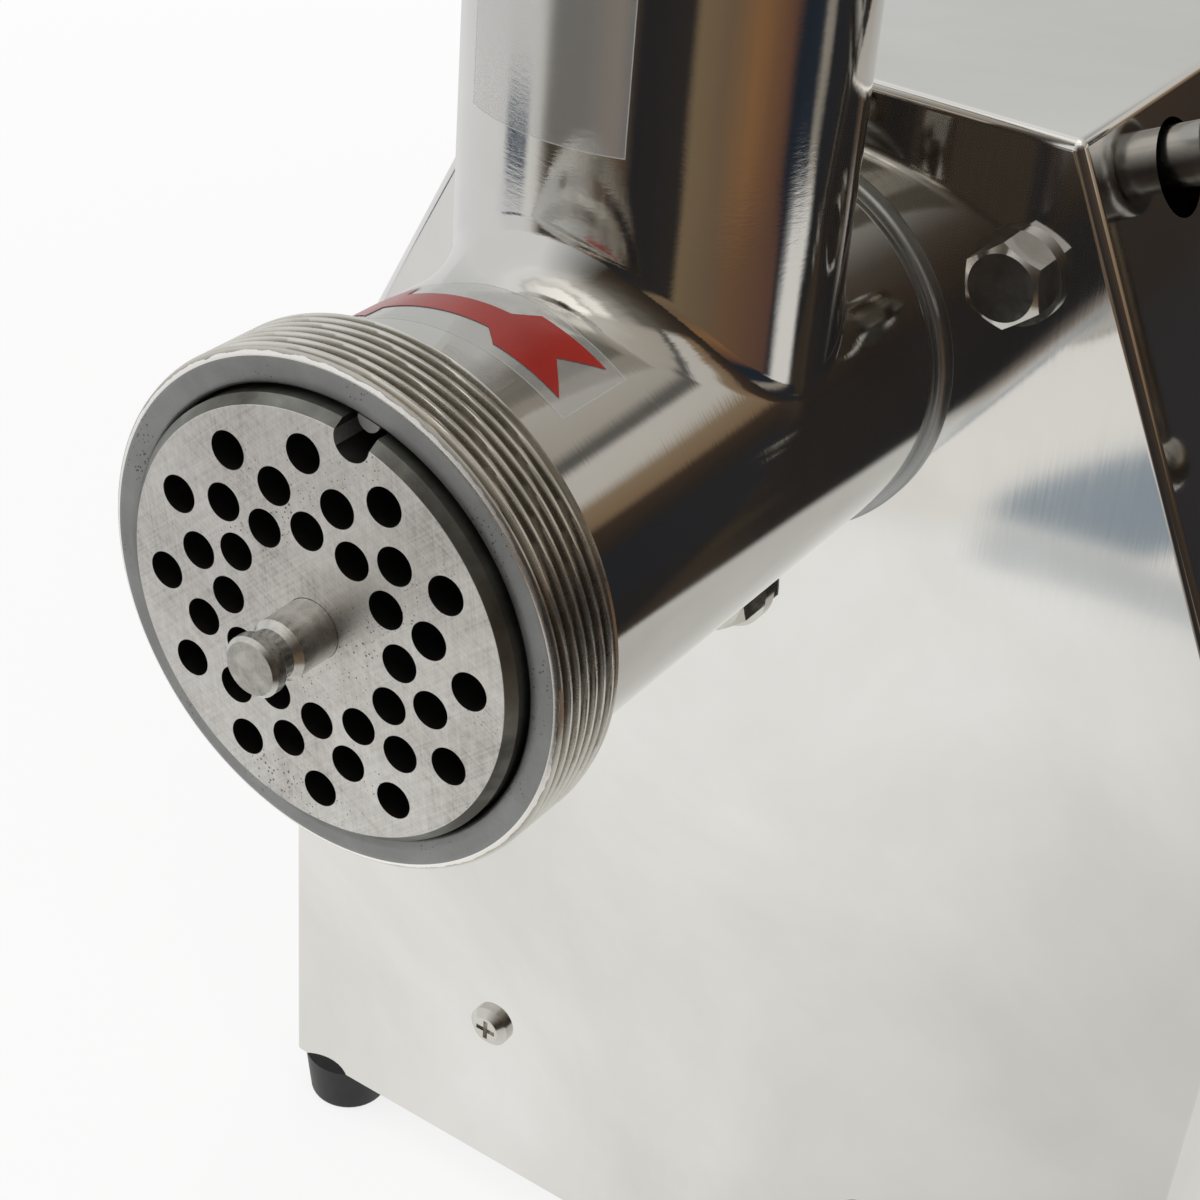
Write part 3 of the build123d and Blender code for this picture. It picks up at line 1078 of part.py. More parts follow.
# Run capacitor in its clamp beside the motor
CAPACITOR_Y = PANEL_Y + CAPACITOR_FROM_PANEL
CAPACITOR_Z = BASE_TOP_Z + CAPACITOR_RADIUS + STRAP_THICK + SEAT_FIT
STRAP_Y = CAPACITOR_Y + (CAPACITOR_LENGTH - STRAP_WIDTH) / 2
with BuildPart() as run_capacitor:
    rod(CAPACITOR_RADIUS, CAPACITOR_Y, CAPACITOR_LENGTH, CAPACITOR_Z, CAPACITOR_X)
    tab_middle = CAPACITOR_Y + TAB_SUNK - TAB_LENGTH / 2
    with Locations((CAPACITOR_X, tab_middle, CAPACITOR_Z)):
        with GridLocations(TAB_SPACING, TAB_LENGTH, 2, 1):
            Box(TAB_THICK, TAB_LENGTH, TAB_WIDTH)
save(run_capacitor, "run_capacitor")

with BuildPart() as capacitor_clamp:
    strap_outer = CAPACITOR_RADIUS + STRAP_THICK
    ring(CAPACITOR_RADIUS, strap_outer, STRAP_Y, STRAP_WIDTH, CAPACITOR_Z, CAPACITOR_X)
    with Locations((CAPACITOR_X, STRAP_Y + STRAP_WIDTH / 2, BASE_TOP_Z + STRAP_THICK / 2)):
        Box(1.5 * CAPACITOR_RADIUS, STRAP_WIDTH, STRAP_THICK)
    rod(CAPACITOR_RADIUS + SEAT_FIT, STRAP_Y, STRAP_WIDTH, CAPACITOR_Z, CAPACITOR_X, mode=Mode.SUBTRACT)
save(capacitor_clamp, "capacitor_clamp")

# Switch: a body with a bezel and a rocker that swings about a level axis
ROCKER_Y = REAR_Y - 1
switch_inner = REAR_PANEL_Y - SWITCH_DEPTH
pocket_y = ROCKER_Y - ROCKER_DEPTH + 2
rocker_plane = Plane(origin=(SWITCH_X, ROCKER_Y, SWITCH_Z), x_dir=(0, 1, 0), z_dir=(1, 0, 0))
rocker_pin_reach = ROCKER_WIDTH / 2 + ROCKER_PIN_LENGTH
with BuildPart() as switch_body:
    with Locations((SWITCH_X, (switch_inner + REAR_Y) / 2, SWITCH_Z)):
        Box(SWITCH_WIDTH, REAR_Y - switch_inner, SWITCH_HEIGHT)
    with Locations((SWITCH_X, REAR_Y + BEZEL_THICK / 2, SWITCH_Z)):
        Box(SWITCH_WIDTH + 2 * BEZEL_MARGIN, BEZEL_THICK, SWITCH_HEIGHT + 2 * BEZEL_MARGIN)
    pocket_depth = REAR_Y + BEZEL_THICK - pocket_y
    with Locations((SWITCH_X, pocket_y + pocket_depth / 2, SWITCH_Z)):
        Box(ROCKER_WIDTH + 1, pocket_depth, ROCKER_HEIGHT + 1, mode=Mode.SUBTRACT)
    with BuildSketch(rocker_plane) as pivot_hole:
        Circle(ROCKER_PIN_RADIUS + RUNNING_FIT)
    extrude(pivot_hole.sketch, amount=rocker_pin_reach + MOVING_ROOM, both=True, mode=Mode.SUBTRACT)
save(switch_body, "switch_body")

rocker_end = ROCKER_HEIGHT / 2 - 0.7
with BuildPart() as switch_rocker:
    with BuildSketch(rocker_plane) as rocker_face:
        with BuildLine():
            Polyline(
                (ROCKER_PROUD - 0.4, 0),
                (2 * ROCKER_PROUD, rocker_end),
                (-2, rocker_end - 1),
                (-ROCKER_DEPTH + 3, 2),
                (-ROCKER_DEPTH + 3, -2),
                (-2, 1 - rocker_end),
                (2 * ROCKER_PROUD, -rocker_end),
                close=True,
            )
        make_face()
    extrude(rocker_face.sketch, amount=ROCKER_WIDTH / 2, both=True)
    with BuildSketch(rocker_plane) as pivot_pin:
        Circle(ROCKER_PIN_RADIUS)
    extrude(pivot_pin.sketch, amount=rocker_pin_reach, both=True)
save(switch_rocker, "switch_rocker")

# Overload breaker with its reset button
collar_end = REAR_Y + RESET_COLLAR_HEIGHT
button_start = collar_end - RESET_BUTTON_DEPTH
with BuildPart() as reset_breaker:
    rod(RESET_COLLAR_RADIUS, REAR_Y, RESET_COLLAR_HEIGHT, SWITCH_Z, RESET_X)
    rod(RESET_NECK_RADIUS, REAR_PANEL_Y - 1, REAR_PANEL_THICK + 2, SWITCH_Z, RESET_X)
    rod(RESET_BODY_RADIUS, REAR_PANEL_Y - RESET_BODY_LENGTH, RESET_BODY_LENGTH, SWITCH_Z, RESET_X)
    bore_y = button_start - RESET_TRAVEL - MOVING_ROOM
    rod(RESET_BUTTON_RADIUS + TOUCH_GAP, bore_y, collar_end - bore_y, SWITCH_Z, RESET_X, mode=Mode.SUBTRACT)
save(reset_breaker, "reset_breaker")

with BuildPart() as reset_button:
    rod(RESET_BUTTON_RADIUS, button_start, RESET_BUTTON_DEPTH + RESET_BUTTON_OUT, SWITCH_Z, RESET_X)
    fillet(reset_button.edges().filter_by(GeomType.CIRCLE).sort_by(Axis.Y)[-1], 1)
save(reset_button, "reset_button")

# Cord gland and its nut
with BuildPart() as cord_gland:
    with BuildSketch(cross_plane(REAR_Y)) as gland_hex:
        with Locations((GLAND_X, GLAND_Z)):
            RegularPolygon(GLAND_HEX / 2, 6, major_radius=False)
    extrude(gland_hex.sketch, amount=-GLAND_HEX_THICK)
    rod(GLAND_RADIUS, REAR_PANEL_Y - GLAND_INSIDE, GLAND_INSIDE + REAR_PANEL_THICK + 1, GLAND_Z, GLAND_X)
    dome_end = REAR_Y + GLAND_REACH
    dome = [
        (REAR_Y + GLAND_HEX_THICK - 1, 0),
        (REAR_Y + GLAND_HEX_THICK - 1, GLAND_RADIUS + 0.6),
        (dome_end - 4, GLAND_RADIUS + 0.6),
        (dome_end, GLAND_BORE + 1.6),
        (dome_end, 0),
    ]
    turn(dome, GLAND_Z, GLAND_X)
    gland_start = REAR_PANEL_Y - GLAND_INSIDE
    rod(GLAND_BORE, gland_start, dome_end - gland_start, GLAND_Z, GLAND_X, mode=Mode.SUBTRACT)
save(cord_gland, "cord_gland")

with BuildPart() as gland_nut:
    with BuildSketch(cross_plane(REAR_PANEL_Y - GLAND_NUT_THICK)) as gland_nut_face:
        with Locations((GLAND_X, GLAND_Z)):
            RegularPolygon(GLAND_HEX / 2 + 1, 6, major_radius=False)
            Circle(GLAND_RADIUS + SEAT_FIT, mode=Mode.SUBTRACT)
    extrude(gland_nut_face.sketch, amount=-GLAND_NUT_THICK)
save(gland_nut, "gland_nut")
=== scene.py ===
# %% [markdown]
# # An electric meat grinder
# The machine's solids come from the imported model, in metres, in one frame. This lesson dresses them: it
# sets up the camera and the studio, gives every solid a finish, and models the polished grinder head, its
# gasket, its clear films and the arrow on it as new meshes.

# %% Load the solids
import bpy
import math
from mathutils import Matrix, Vector


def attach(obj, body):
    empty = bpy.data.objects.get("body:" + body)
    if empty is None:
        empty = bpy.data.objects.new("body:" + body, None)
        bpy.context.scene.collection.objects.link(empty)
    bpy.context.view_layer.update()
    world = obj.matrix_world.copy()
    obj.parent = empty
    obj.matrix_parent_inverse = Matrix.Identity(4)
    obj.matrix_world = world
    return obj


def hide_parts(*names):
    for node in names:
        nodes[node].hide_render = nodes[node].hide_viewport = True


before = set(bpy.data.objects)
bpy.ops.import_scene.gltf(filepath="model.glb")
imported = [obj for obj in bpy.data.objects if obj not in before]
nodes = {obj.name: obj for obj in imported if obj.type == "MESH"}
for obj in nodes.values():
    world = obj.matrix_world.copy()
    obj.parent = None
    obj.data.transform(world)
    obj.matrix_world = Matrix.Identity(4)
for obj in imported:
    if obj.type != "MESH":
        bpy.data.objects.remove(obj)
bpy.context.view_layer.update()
MM = 0.001
AXIS_Z = 255.8

# %% [markdown]
# ## Camera
# The view is from the front right and above, close, with a normal lens. Its place and its three axes were
# worked out from the plate, the barrel and the panel, so the matrix is written down rather than aimed by
# eye.

# %% Camera
CAMERA_PLACE = Vector((0.174145, -0.393238, 0.436885))
CAMERA_RIGHT = Vector((0.82392, 0.56229, 0.07061))
CAMERA_UP = Vector((-0.35572, 0.41615, 0.83683))
CAMERA_BACK = Vector((0.44115, -0.71460, 0.54289))
LENS, SENSOR_WIDTH, NEAREST = 68.49, 36.0, 0.01
bpy.ops.object.select_all(action="DESELECT")
bpy.ops.object.camera_add()
camera = bpy.context.object
camera.name = "photo_camera"
camera.data.lens = LENS
camera.data.sensor_width = SENSOR_WIDTH
camera.data.clip_start = NEAREST
turn = Matrix((CAMERA_RIGHT, CAMERA_UP, CAMERA_BACK)).transposed()
camera.matrix_world = Matrix.Translation(CAMERA_PLACE) @ turn.to_4x4()
bpy.context.scene.camera = camera
bpy.context.scene.view_settings.view_transform = "Standard"
print("camera lens", camera.data.lens)

# %% [markdown]
# ## Node helpers
# Every finish below is a small network of shader nodes. A few helpers keep the cells short: they add a node
# with its values, feed a socket, and build the steps that come back again and again, such as a maths step,
# a colour ramp, a noise, and a blend of two colours or of two shaders.

# %% Nodes and sockets
def add_node(tree, kind, **values):
    """One node with its properties or input values set by name."""
    node = tree.nodes.new(kind)
    for key, value in values.items():
        if hasattr(node, key):
            setattr(node, key, value)
        else:
            node.inputs[key.replace("_", " ")].default_value = value
    return node


def feed(tree, value, slot):
    """Sets a socket to a number or a colour, or links another socket to it."""
    if isinstance(value, (int, float)):
        slot.default_value = value
    elif isinstance(value, tuple):
        slot.default_value = (*value, 1.0)
    else:
        tree.links.new(value, slot)


def split(tree, vector):
    """The X, Y and Z of a vector."""
    node = add_node(tree, "ShaderNodeSeparateXYZ")
    tree.links.new(vector, node.inputs["Vector"])
    return node.outputs["X"], node.outputs["Y"], node.outputs["Z"]


def math_node(tree, operation, first, second=0.0):
    """A maths step; either side may be a socket or a number."""
    node = add_node(tree, "ShaderNodeMath", operation=operation)
    for slot, value in zip(node.inputs, (first, second)):
        feed(tree, value, slot)
    return node.outputs["Value"]


def graded(tree, value, low, high, at_low=0.0, at_high=1.0):
    """A value that runs from low to high, put out as at_low to at_high and held at both ends."""
    node = add_node(tree, "ShaderNodeMapRange", From_Min=low, From_Max=high, To_Min=at_low, To_Max=at_high)
    tree.links.new(value, node.inputs["Value"])
    return node.outputs["Result"]


def mapped(tree, vector, **values):
    """A vector moved, turned or scaled by a Mapping node."""
    node = add_node(tree, "ShaderNodeMapping", **values)
    tree.links.new(vector, node.inputs["Vector"])
    return node.outputs["Vector"]


print("node helpers ready")

# %% Ramps, noise and blends
BUMP_DEPTH = 0.0002


def ramp(tree, source, stops):
    """A colour ramp from (position, colour) stops, fed by source."""
    node = add_node(tree, "ShaderNodeValToRGB")
    band = node.color_ramp
    while len(band.elements) < len(stops):
        band.elements.new(0.5)
    for element, (place, colour) in zip(band.elements, stops):
        element.position = place
        element.color = (*colour, 1.0)
    tree.links.new(source, node.inputs["Fac"])
    return node.outputs["Color"]


def noise(tree, place, scale, **values):
    """A noise over place, about 0.5 on average; scale may be a socket or a number."""
    node = add_node(tree, "ShaderNodeTexNoise", **values)
    tree.links.new(place, node.inputs["Vector"])
    feed(tree, scale, node.inputs["Scale"])
    return node.outputs["Fac"]


def blend(tree, factor, first, second):
    """Two colours mixed by factor; each may be a socket or a colour."""
    node = add_node(tree, "ShaderNodeMix", data_type="RGBA")
    tree.links.new(factor, node.inputs["Factor"])
    feed(tree, first, node.inputs[6])
    feed(tree, second, node.inputs[7])
    return node.outputs[2]


def bumped(tree, height, strength):
    """The surface's normal with a faint relief from height."""
    node = add_node(tree, "ShaderNodeBump", Strength=strength, Distance=BUMP_DEPTH)
    tree.links.new(height, node.inputs["Height"])
    return node.outputs["Normal"]


def blend_shaders(tree, factor, first, second):
    """Two shaders mixed by factor."""
    node = add_node(tree, "ShaderNodeMixShader")
    for slot, value in zip(node.inputs, (factor, first, second)):
        tree.links.new(value, slot)
    return node.outputs["Shader"]


print("ramps, noise and blends ready")

# %% [markdown]
# ## Studio
# Polished steel shows little but its surroundings. The camera and soft light see a white floor and a white
# room. Mirror rays see a white sheet close to the machine and a dim room beyond it: dark, tan and brown
# stretches that turn with the direction. That is what draws the stripes on the throat and the dark band
# along the barrel. The floor's paint starts with two measures of each spot: its direction as seen from the
# throat, with a slight sway so that no border is straight, and its reach from the middle of the head.

# %% Floor
FLOOR_SIZE = 24.0
THROAT_Y = -105.0
SHEET_MIDDLE_Y = -63.0
SWAY = 0.16
bpy.ops.object.select_all(action="DESELECT")
bpy.ops.mesh.primitive_plane_add(size=FLOOR_SIZE)
floor = bpy.context.object
floor.name = "floor"
floor_paint = bpy.data.materials.new("floor_paint")
floor_paint.use_nodes = True
tree = floor_paint.node_tree
tree.nodes.clear()
place = add_node(tree, "ShaderNodeTexCoord").outputs["Object"]
spot_x, spot_y, _ = split(tree, place)
ahead = math_node(tree, "MULTIPLY", math_node(tree, "ADD", spot_y, -THROAT_Y * MM), -1.0)
azimuth = math_node(tree, "ARCTAN2", spot_x, ahead)
wobble = noise(tree, place, 7.0, Detail=3.0)
sway = math_node(tree, "MULTIPLY", math_node(tree, "SUBTRACT", wobble, 0.5), SWAY)
turned = math_node(tree, "ADD", azimuth, sway)
away_x = math_node(tree, "POWER", spot_x, 2.0)
away_y = math_node(tree, "POWER", math_node(tree, "ADD", spot_y, -SHEET_MIDDLE_Y * MM), 2.0)
reach = math_node(tree, "SQRT", math_node(tree, "ADD", away_x, away_y))
print("floor of", FLOOR_SIZE, "m")

# %% [markdown]
# Two rings of tones surround the sheet, a near one and a far one. Each is a list of directions, in degrees
# from straight ahead towards the right, with the colour met there.

# %% Tones round the sheet
LEFT_TONES = [
    (-180, (0.50, 0.49, 0.47)),
    (-120, (0.80, 0.80, 0.80)),
    (-70, (0.78, 0.78, 0.78)),
]
DARK_AHEAD = [
    (17, (0.022, 0.021, 0.022)),
    (43, (0.030, 0.026, 0.024)),
    (47.5, (0.20, 0.145, 0.085)),
]
REAR_TONES = [(165, (0.035, 0.030, 0.028))]
NEAR_ROOM = LEFT_TONES + [
    (-58, (0.64, 0.645, 0.65)),
    (-50, (0.62, 0.62, 0.615)),
    (-42, (0.80, 0.79, 0.77)),
    (-34, (0.40, 0.39, 0.37)),
    (-29, (0.42, 0.41, 0.39)),
    (-24, (0.80, 0.78, 0.74)),
    (-1, (0.78, 0.76, 0.72)),
    (10, (0.24, 0.21, 0.18)),
] + DARK_AHEAD + [
    (64, (0.16, 0.11, 0.070)),
    (78, (0.165, 0.092, 0.052)),
    (104, (0.115, 0.062, 0.046)),
    (109, (0.018, 0.024, 0.032)),
    (114, (0.80, 0.78, 0.75)),
    (125.5, (0.80, 0.78, 0.75)),
    (128.5, (0.020, 0.020, 0.020)),
] + REAR_TONES
FAR_ROOM = LEFT_TONES + [
    (-58, (0.72, 0.72, 0.715)),
    (-44, (0.74, 0.73, 0.71)),
    (-38, (0.66, 0.64, 0.61)),
    (-34, (0.34, 0.32, 0.29)),
    (-30, (0.070, 0.055, 0.040)),
    (-12, (0.070, 0.052, 0.036)),
    (6, (0.16, 0.11, 0.070)),
] + DARK_AHEAD + [
    (64, (0.17, 0.115, 0.070)),
    (80, (0.25, 0.130, 0.058)),
    (100, (0.125, 0.064, 0.042)),
    (106, (0.018, 0.024, 0.034)),
    (120, (0.020, 0.027, 0.038)),
    (122, (0.30, 0.27, 0.23)),
    (126, (0.28, 0.25, 0.21)),
    (129, (0.020, 0.022, 0.026)),
] + REAR_TONES


def turn_stop(degrees):
    """The ramp position of a direction, counted from straight ahead towards the right."""
    return (math.radians(degrees) + math.pi) / (2 * math.pi)


along = math_node(tree, "DIVIDE", math_node(tree, "ADD", turned, math.pi), 2 * math.pi)
near_room = ramp(tree, along, [(turn_stop(degrees), colour) for degrees, colour in NEAR_ROOM])
far_room = ramp(tree, along, [(turn_stop(degrees), colour) for degrees, colour in FAR_ROOM])
print("tones:", len(NEAR_ROOM), "near,", len(FAR_ROOM), "far")

# %% [markdown]
# The sheet lies inside both rings. Rays that have met steel twice see a plain brown on the warm side, so
# that the barrel's image in the throat stays calm. Windows, which are one inside a range and fade at its
# ends, then cut out two small things: a dark blue card on the left, and grey folds that the front panel
# mirrors.

# %% Sheet, card and folds
SHEET_REACH, SHEET_SOFT, SHEET_RAGGED = 0.385, 0.015, 0.3
SHEET_CHANGE, SHEET_LEFT, SHEET_RIGHT = (-0.075, 0.06), (0.89, 0.89, 0.865), (0.70, 0.695, 0.665)
FAR_REACH = (0.715, 0.785)
WARM_SIDE, TWICE_MET = (44, 134, 0.03), (0.052, 0.040, 0.029)
CARD_SIDE, CARD_REACH, CARD_BLUE = (-60, -45, 0.03), (0.79, 0.89, 0.015), (0.055, 0.080, 0.115)
FOLD_SIDE, FOLD_GREY = (-16, 3, 0.02), (0.26, 0.31, 0.35)
DEEP_REACH, DEEP_SLANT, SLANT_FROM, SLANT = (0.404, 0.60, 0.005), (0.30, 0.418, 0.006), 0.284, 0.6
FAINT_REACH, FAINT = (0.368, 0.398, 0.005), 0.5


def window(tree, value, low, high, soft):
    """One between low and high, fading to nothing over soft at each end."""
    enter = graded(tree, value, low - soft, low + soft)
    leave = graded(tree, value, high + soft, high - soft)
    return math_node(tree, "MULTIPLY", enter, leave)


def wedge(tree, angle, low, high, soft):
    """A window on an angle, with its ends in degrees."""
    return window(tree, angle, math.radians(low), math.radians(high), soft)


rays = add_node(tree, "ShaderNodeLightPath")
room = blend(tree, graded(tree, reach, *FAR_REACH), near_room, far_room)
twice = math_node(tree, "GREATER_THAN", rays.outputs["Glossy Depth"], 1.5)
twice_warm = math_node(tree, "MULTIPLY", twice, wedge(tree, turned, *WARM_SIDE))
room = blend(tree, twice_warm, room, TWICE_MET)
ragged_reach = math_node(tree, "ADD", reach, math_node(tree, "MULTIPLY", sway, SHEET_RAGGED))
beyond = graded(tree, ragged_reach, SHEET_REACH - SHEET_SOFT, SHEET_REACH + SHEET_SOFT)
sheet = blend(tree, graded(tree, spot_x, *SHEET_CHANGE), SHEET_LEFT, SHEET_RIGHT)
seen = blend(tree, beyond, sheet, room)
card_turn, card_reach = wedge(tree, turned, *CARD_SIDE), window(tree, reach, *CARD_REACH)
seen = blend(tree, math_node(tree, "MULTIPLY", card_turn, card_reach), seen, CARD_BLUE)
lean = math_node(tree, "MULTIPLY", math_node(tree, "ADD", azimuth, SLANT_FROM), SLANT)
slanted = window(tree, math_node(tree, "SUBTRACT", reach, lean), *DEEP_SLANT)
deep_fold = math_node(tree, "MULTIPLY", window(tree, reach, *DEEP_REACH), slanted)
faint_fold = math_node(tree, "MULTIPLY", window(tree, reach, *FAINT_REACH), FAINT)
either_fold = math_node(tree, "MAXIMUM", deep_fold, faint_fold)
folds = math_node(tree, "MULTIPLY", wedge(tree, azimuth, *FOLD_SIDE), either_fold)
seen = blend(tree, folds, seen, FOLD_GREY)
print("sheet reach", SHEET_REACH)

# %% [markdown]
# The floor itself is matt, so that it takes the machine's shadow. The camera sees it fade to plain white
# with distance, and only mirror rays see the sheet and the room.

# %% Floor paint
WHITE = (1.0, 1.0, 1.0, 1.0)
FLOOR_MATT = (0.90, 0.90, 0.89, 1.0)
FADE_REACH, FADE_LEAST = (0.45, 1.3), 0.80
mirrored = add_node(tree, "ShaderNodeEmission")
tree.links.new(seen, mirrored.inputs["Color"])
matt = add_node(tree, "ShaderNodeBsdfDiffuse", Color=FLOOR_MATT)
bright = add_node(tree, "ShaderNodeEmission", Color=WHITE)
fade = graded(tree, reach, *FADE_REACH, FADE_LEAST)
pale = blend_shaders(tree, fade, matt.outputs["BSDF"], bright.outputs["Emission"])
plain = blend_shaders(tree, rays.outputs["Is Camera Ray"], matt.outputs["BSDF"], pale)
both = blend_shaders(tree, rays.outputs["Is Glossy Ray"], plain, mirrored.outputs["Emission"])
output = add_node(tree, "ShaderNodeOutputMaterial")
tree.links.new(both, output.inputs["Surface"])
floor.data.materials.append(floor_paint)
print("floor paint nodes:", len(tree.nodes))

# %% [markdown]
# ## Room
# The room works the same way, with tones by height. Mirror rays meet brown and pale walls on the right, a
# darker wall with a bright line in front, pale walls on the left and a bright ceiling over all. Everything
# else sees an even soft white.

# %% Room
WALLS = [
    (0.00, (0.030, 0.024, 0.020)),
    (0.12, (0.055, 0.036, 0.024)),
    (0.17, (0.22, 0.150, 0.090)),
    (0.26, (0.26, 0.190, 0.120)),
    (0.32, (0.56, 0.53, 0.48)),
    (0.43, (0.58, 0.55, 0.50)),
    (0.47, (0.12, 0.115, 0.105)),
    (0.50, (0.12, 0.115, 0.105)),
    (0.54, (0.40, 0.37, 0.32)),
    (0.75, (0.46, 0.425, 0.37)),
    (0.86, (0.58, 0.55, 0.50)),
    (0.93, (0.62, 0.59, 0.54)),
    (0.965, (1.36, 1.30, 1.20)),
]
FRONT_WALLS = [
    (0.00, (0.030, 0.024, 0.020)),
    (0.20, (0.050, 0.036, 0.026)),
    (0.40, (0.085, 0.072, 0.056)),
    (0.58, (0.16, 0.145, 0.12)),
    (0.80, (0.46, 0.435, 0.39)),
    (0.86, (1.05, 1.01, 0.94)),
    (0.92, (1.05, 1.01, 0.94)),
    (0.945, (0.60, 0.57, 0.52)),
    (0.965, (1.36, 1.30, 1.20)),
]
LEFT_WALLS = [
    (0.00, (0.78, 0.78, 0.77)),
    (0.30, (0.77, 0.775, 0.765)),
    (0.66, (0.80, 0.80, 0.785)),
    (0.76, (0.88, 0.87, 0.85)),
    (0.86, (0.84, 0.83, 0.80)),
    (0.91, (0.66, 0.65, 0.62)),
    (0.965, (0.95, 0.93, 0.89)),
]
LEFT_REAR = (0.59, 0.60, 0.585)
FORWARD, BACKWARD, LEFTWARD = (0.06, -0.06), (0.30, 0.85), (0.40, -0.40)
WALL_SHIFT, SOFT_LIGHT = 0.14, 0.62
studio = bpy.data.worlds.new("studio")
bpy.context.scene.world = studio
studio.use_nodes = True
tree = studio.node_tree
tree.nodes.clear()
way = add_node(tree, "ShaderNodeTexCoord").outputs["Generated"]
way_x, way_y, way_z = split(tree, way)
patches = math_node(tree, "SUBTRACT", noise(tree, way, 4.0, Detail=1.0), 0.5)
height = math_node(tree, "ADD", way_z, math_node(tree, "MULTIPLY", patches, WALL_SHIFT))
forward = graded(tree, way_y, *FORWARD)
right_side = blend(tree, forward, ramp(tree, height, WALLS), ramp(tree, height, FRONT_WALLS))
backward = graded(tree, way_y, *BACKWARD)
left_side = blend(tree, backward, ramp(tree, height, LEFT_WALLS), LEFT_REAR)
around = blend(tree, graded(tree, way_x, *LEFTWARD), right_side, left_side)
rays = add_node(tree, "ShaderNodeLightPath")
mirrored = add_node(tree, "ShaderNodeBackground")
tree.links.new(around, mirrored.inputs["Color"])
soft = add_node(tree, "ShaderNodeBackground", Color=WHITE, Strength=SOFT_LIGHT).outputs["Background"]
white = add_node(tree, "ShaderNodeBackground", Color=WHITE, Strength=1.0).outputs["Background"]
plain = blend_shaders(tree, rays.outputs["Is Camera Ray"], soft, white)
both = blend_shaders(tree, rays.outputs["Is Glossy Ray"], plain, mirrored.outputs["Background"])
output = add_node(tree, "ShaderNodeOutputWorld")
tree.links.new(both, output.inputs["Surface"])
print("room nodes:", len(tree.nodes))

# %% [markdown]
# ## Lamps
# Two broad round lamps give the shadow its direction. Mirror rays don't see them, so they leave no discs on
# the steel.

# %% Lamps
LAMP_AIM = (0.0, -0.08, 0.2)


def soft_lamp(name, place, size, power):
    """A broad round lamp at place that looks at the head."""
    bpy.ops.object.select_all(action="DESELECT")
    bpy.ops.object.light_add(type="AREA", location=place)
    lamp = bpy.context.object
    lamp.name = name
    lamp.data.shape = "DISK"
    lamp.data.size = size
    lamp.data.energy = power
    lamp.visible_glossy = False
    lamp.rotation_euler = (Vector(LAMP_AIM) - Vector(place)).to_track_quat("-Z", "Y").to_euler()


soft_lamp("key_lamp", (-0.9, -0.9, 1.5), 2.6, 17.0)
soft_lamp("side_lamp", (1.3, -0.5, 1.1), 1.6, 4.5)
print("lamps ready")

# %% [markdown]
# ## Shared effects
# Metal is never one even colour. What several finishes use is built once as a node group: fine scratches
# drawn out along one direction, soft cloudy smudges, small pits that gather in places, and the distance
# from the barrel's axis, which tells a rim or a thread's crest from what lies inside it.

# %% Shared effects
def effect_group(name, result="Mask", **numbers):
    """An empty node group with a Vector input, the named number inputs and one output."""
    group = bpy.data.node_groups.new(name, "ShaderNodeTree")
    group.interface.new_socket("Vector", in_out="INPUT", socket_type="NodeSocketVector")
    for label, start in numbers.items():
        socket = group.interface.new_socket(label, in_out="INPUT", socket_type="NodeSocketFloat")
        socket.default_value = start
    group.interface.new_socket(result, in_out="OUTPUT", socket_type="NodeSocketFloat")
    return group, group.nodes.new("NodeGroupInput").outputs, group.nodes.new("NodeGroupOutput").inputs


def effect(tree, group, vector, **values):
    """A shared effect placed in a material, with its own values."""
    node = add_node(tree, "ShaderNodeGroup", node_tree=group, **values)
    tree.links.new(vector, node.inputs["Vector"])
    return node.outputs[0]


scratch_group, entry, leave = effect_group("fine_scratches", Scale=900.0, Stretch=40.0)
squeeze = add_node(scratch_group, "ShaderNodeCombineXYZ", X=1.0, Y=1.0)
thin = math_node(scratch_group, "DIVIDE", 1.0, entry["Stretch"])
scratch_group.links.new(thin, squeeze.inputs["Z"])
drawn = add_node(scratch_group, "ShaderNodeVectorMath", operation="MULTIPLY")
scratch_group.links.new(entry["Vector"], drawn.inputs[0])
scratch_group.links.new(squeeze.outputs["Vector"], drawn.inputs[1])
grain = noise(scratch_group, drawn.outputs["Vector"], entry["Scale"], Detail=4.0, Roughness=0.65)
scratch_group.links.new(grain, leave["Mask"])

smudge_group, entry, leave = effect_group("soft_smudges", Scale=14.0)
cloud = noise(smudge_group, entry["Vector"], entry["Scale"], Detail=5.0, Roughness=0.55, Distortion=0.4)
smudge_group.links.new(cloud, leave["Mask"])

pit_group, entry, leave = effect_group("small_pits", Scale=420.0, Spread=90.0, Most=0.22)
cells = add_node(pit_group, "ShaderNodeTexVoronoi")
pit_group.links.new(entry["Vector"], cells.inputs["Vector"])
pit_group.links.new(entry["Scale"], cells.inputs["Scale"])
rare = noise(pit_group, entry["Vector"], entry["Spread"], Detail=2.0)
limit = add_node(pit_group, "ShaderNodeMapRange", From_Min=0.48, From_Max=0.71, To_Min=0.02)
pit_group.links.new(rare, limit.inputs["Value"])
pit_group.links.new(entry["Most"], limit.inputs["To Max"])
pit = math_node(pit_group, "LESS_THAN", cells.outputs["Distance"], limit.outputs["Result"])
pit_group.links.new(pit, leave["Mask"])

axis_group, entry, leave = effect_group("axis_distance", "Distance")
to_axis = mapped(axis_group, entry["Vector"], Location=(0.0, 0.0, -AXIS_Z * MM), Scale=(1.0, 0.0, 1.0))
from_axis = add_node(axis_group, "ShaderNodeVectorMath", operation="LENGTH")
axis_group.links.new(to_axis, from_axis.inputs[0])
axis_group.links.new(from_axis.outputs["Value"], leave["Distance"])
print("effects:", [group.name for group in (scratch_group, smudge_group, pit_group, axis_group)])

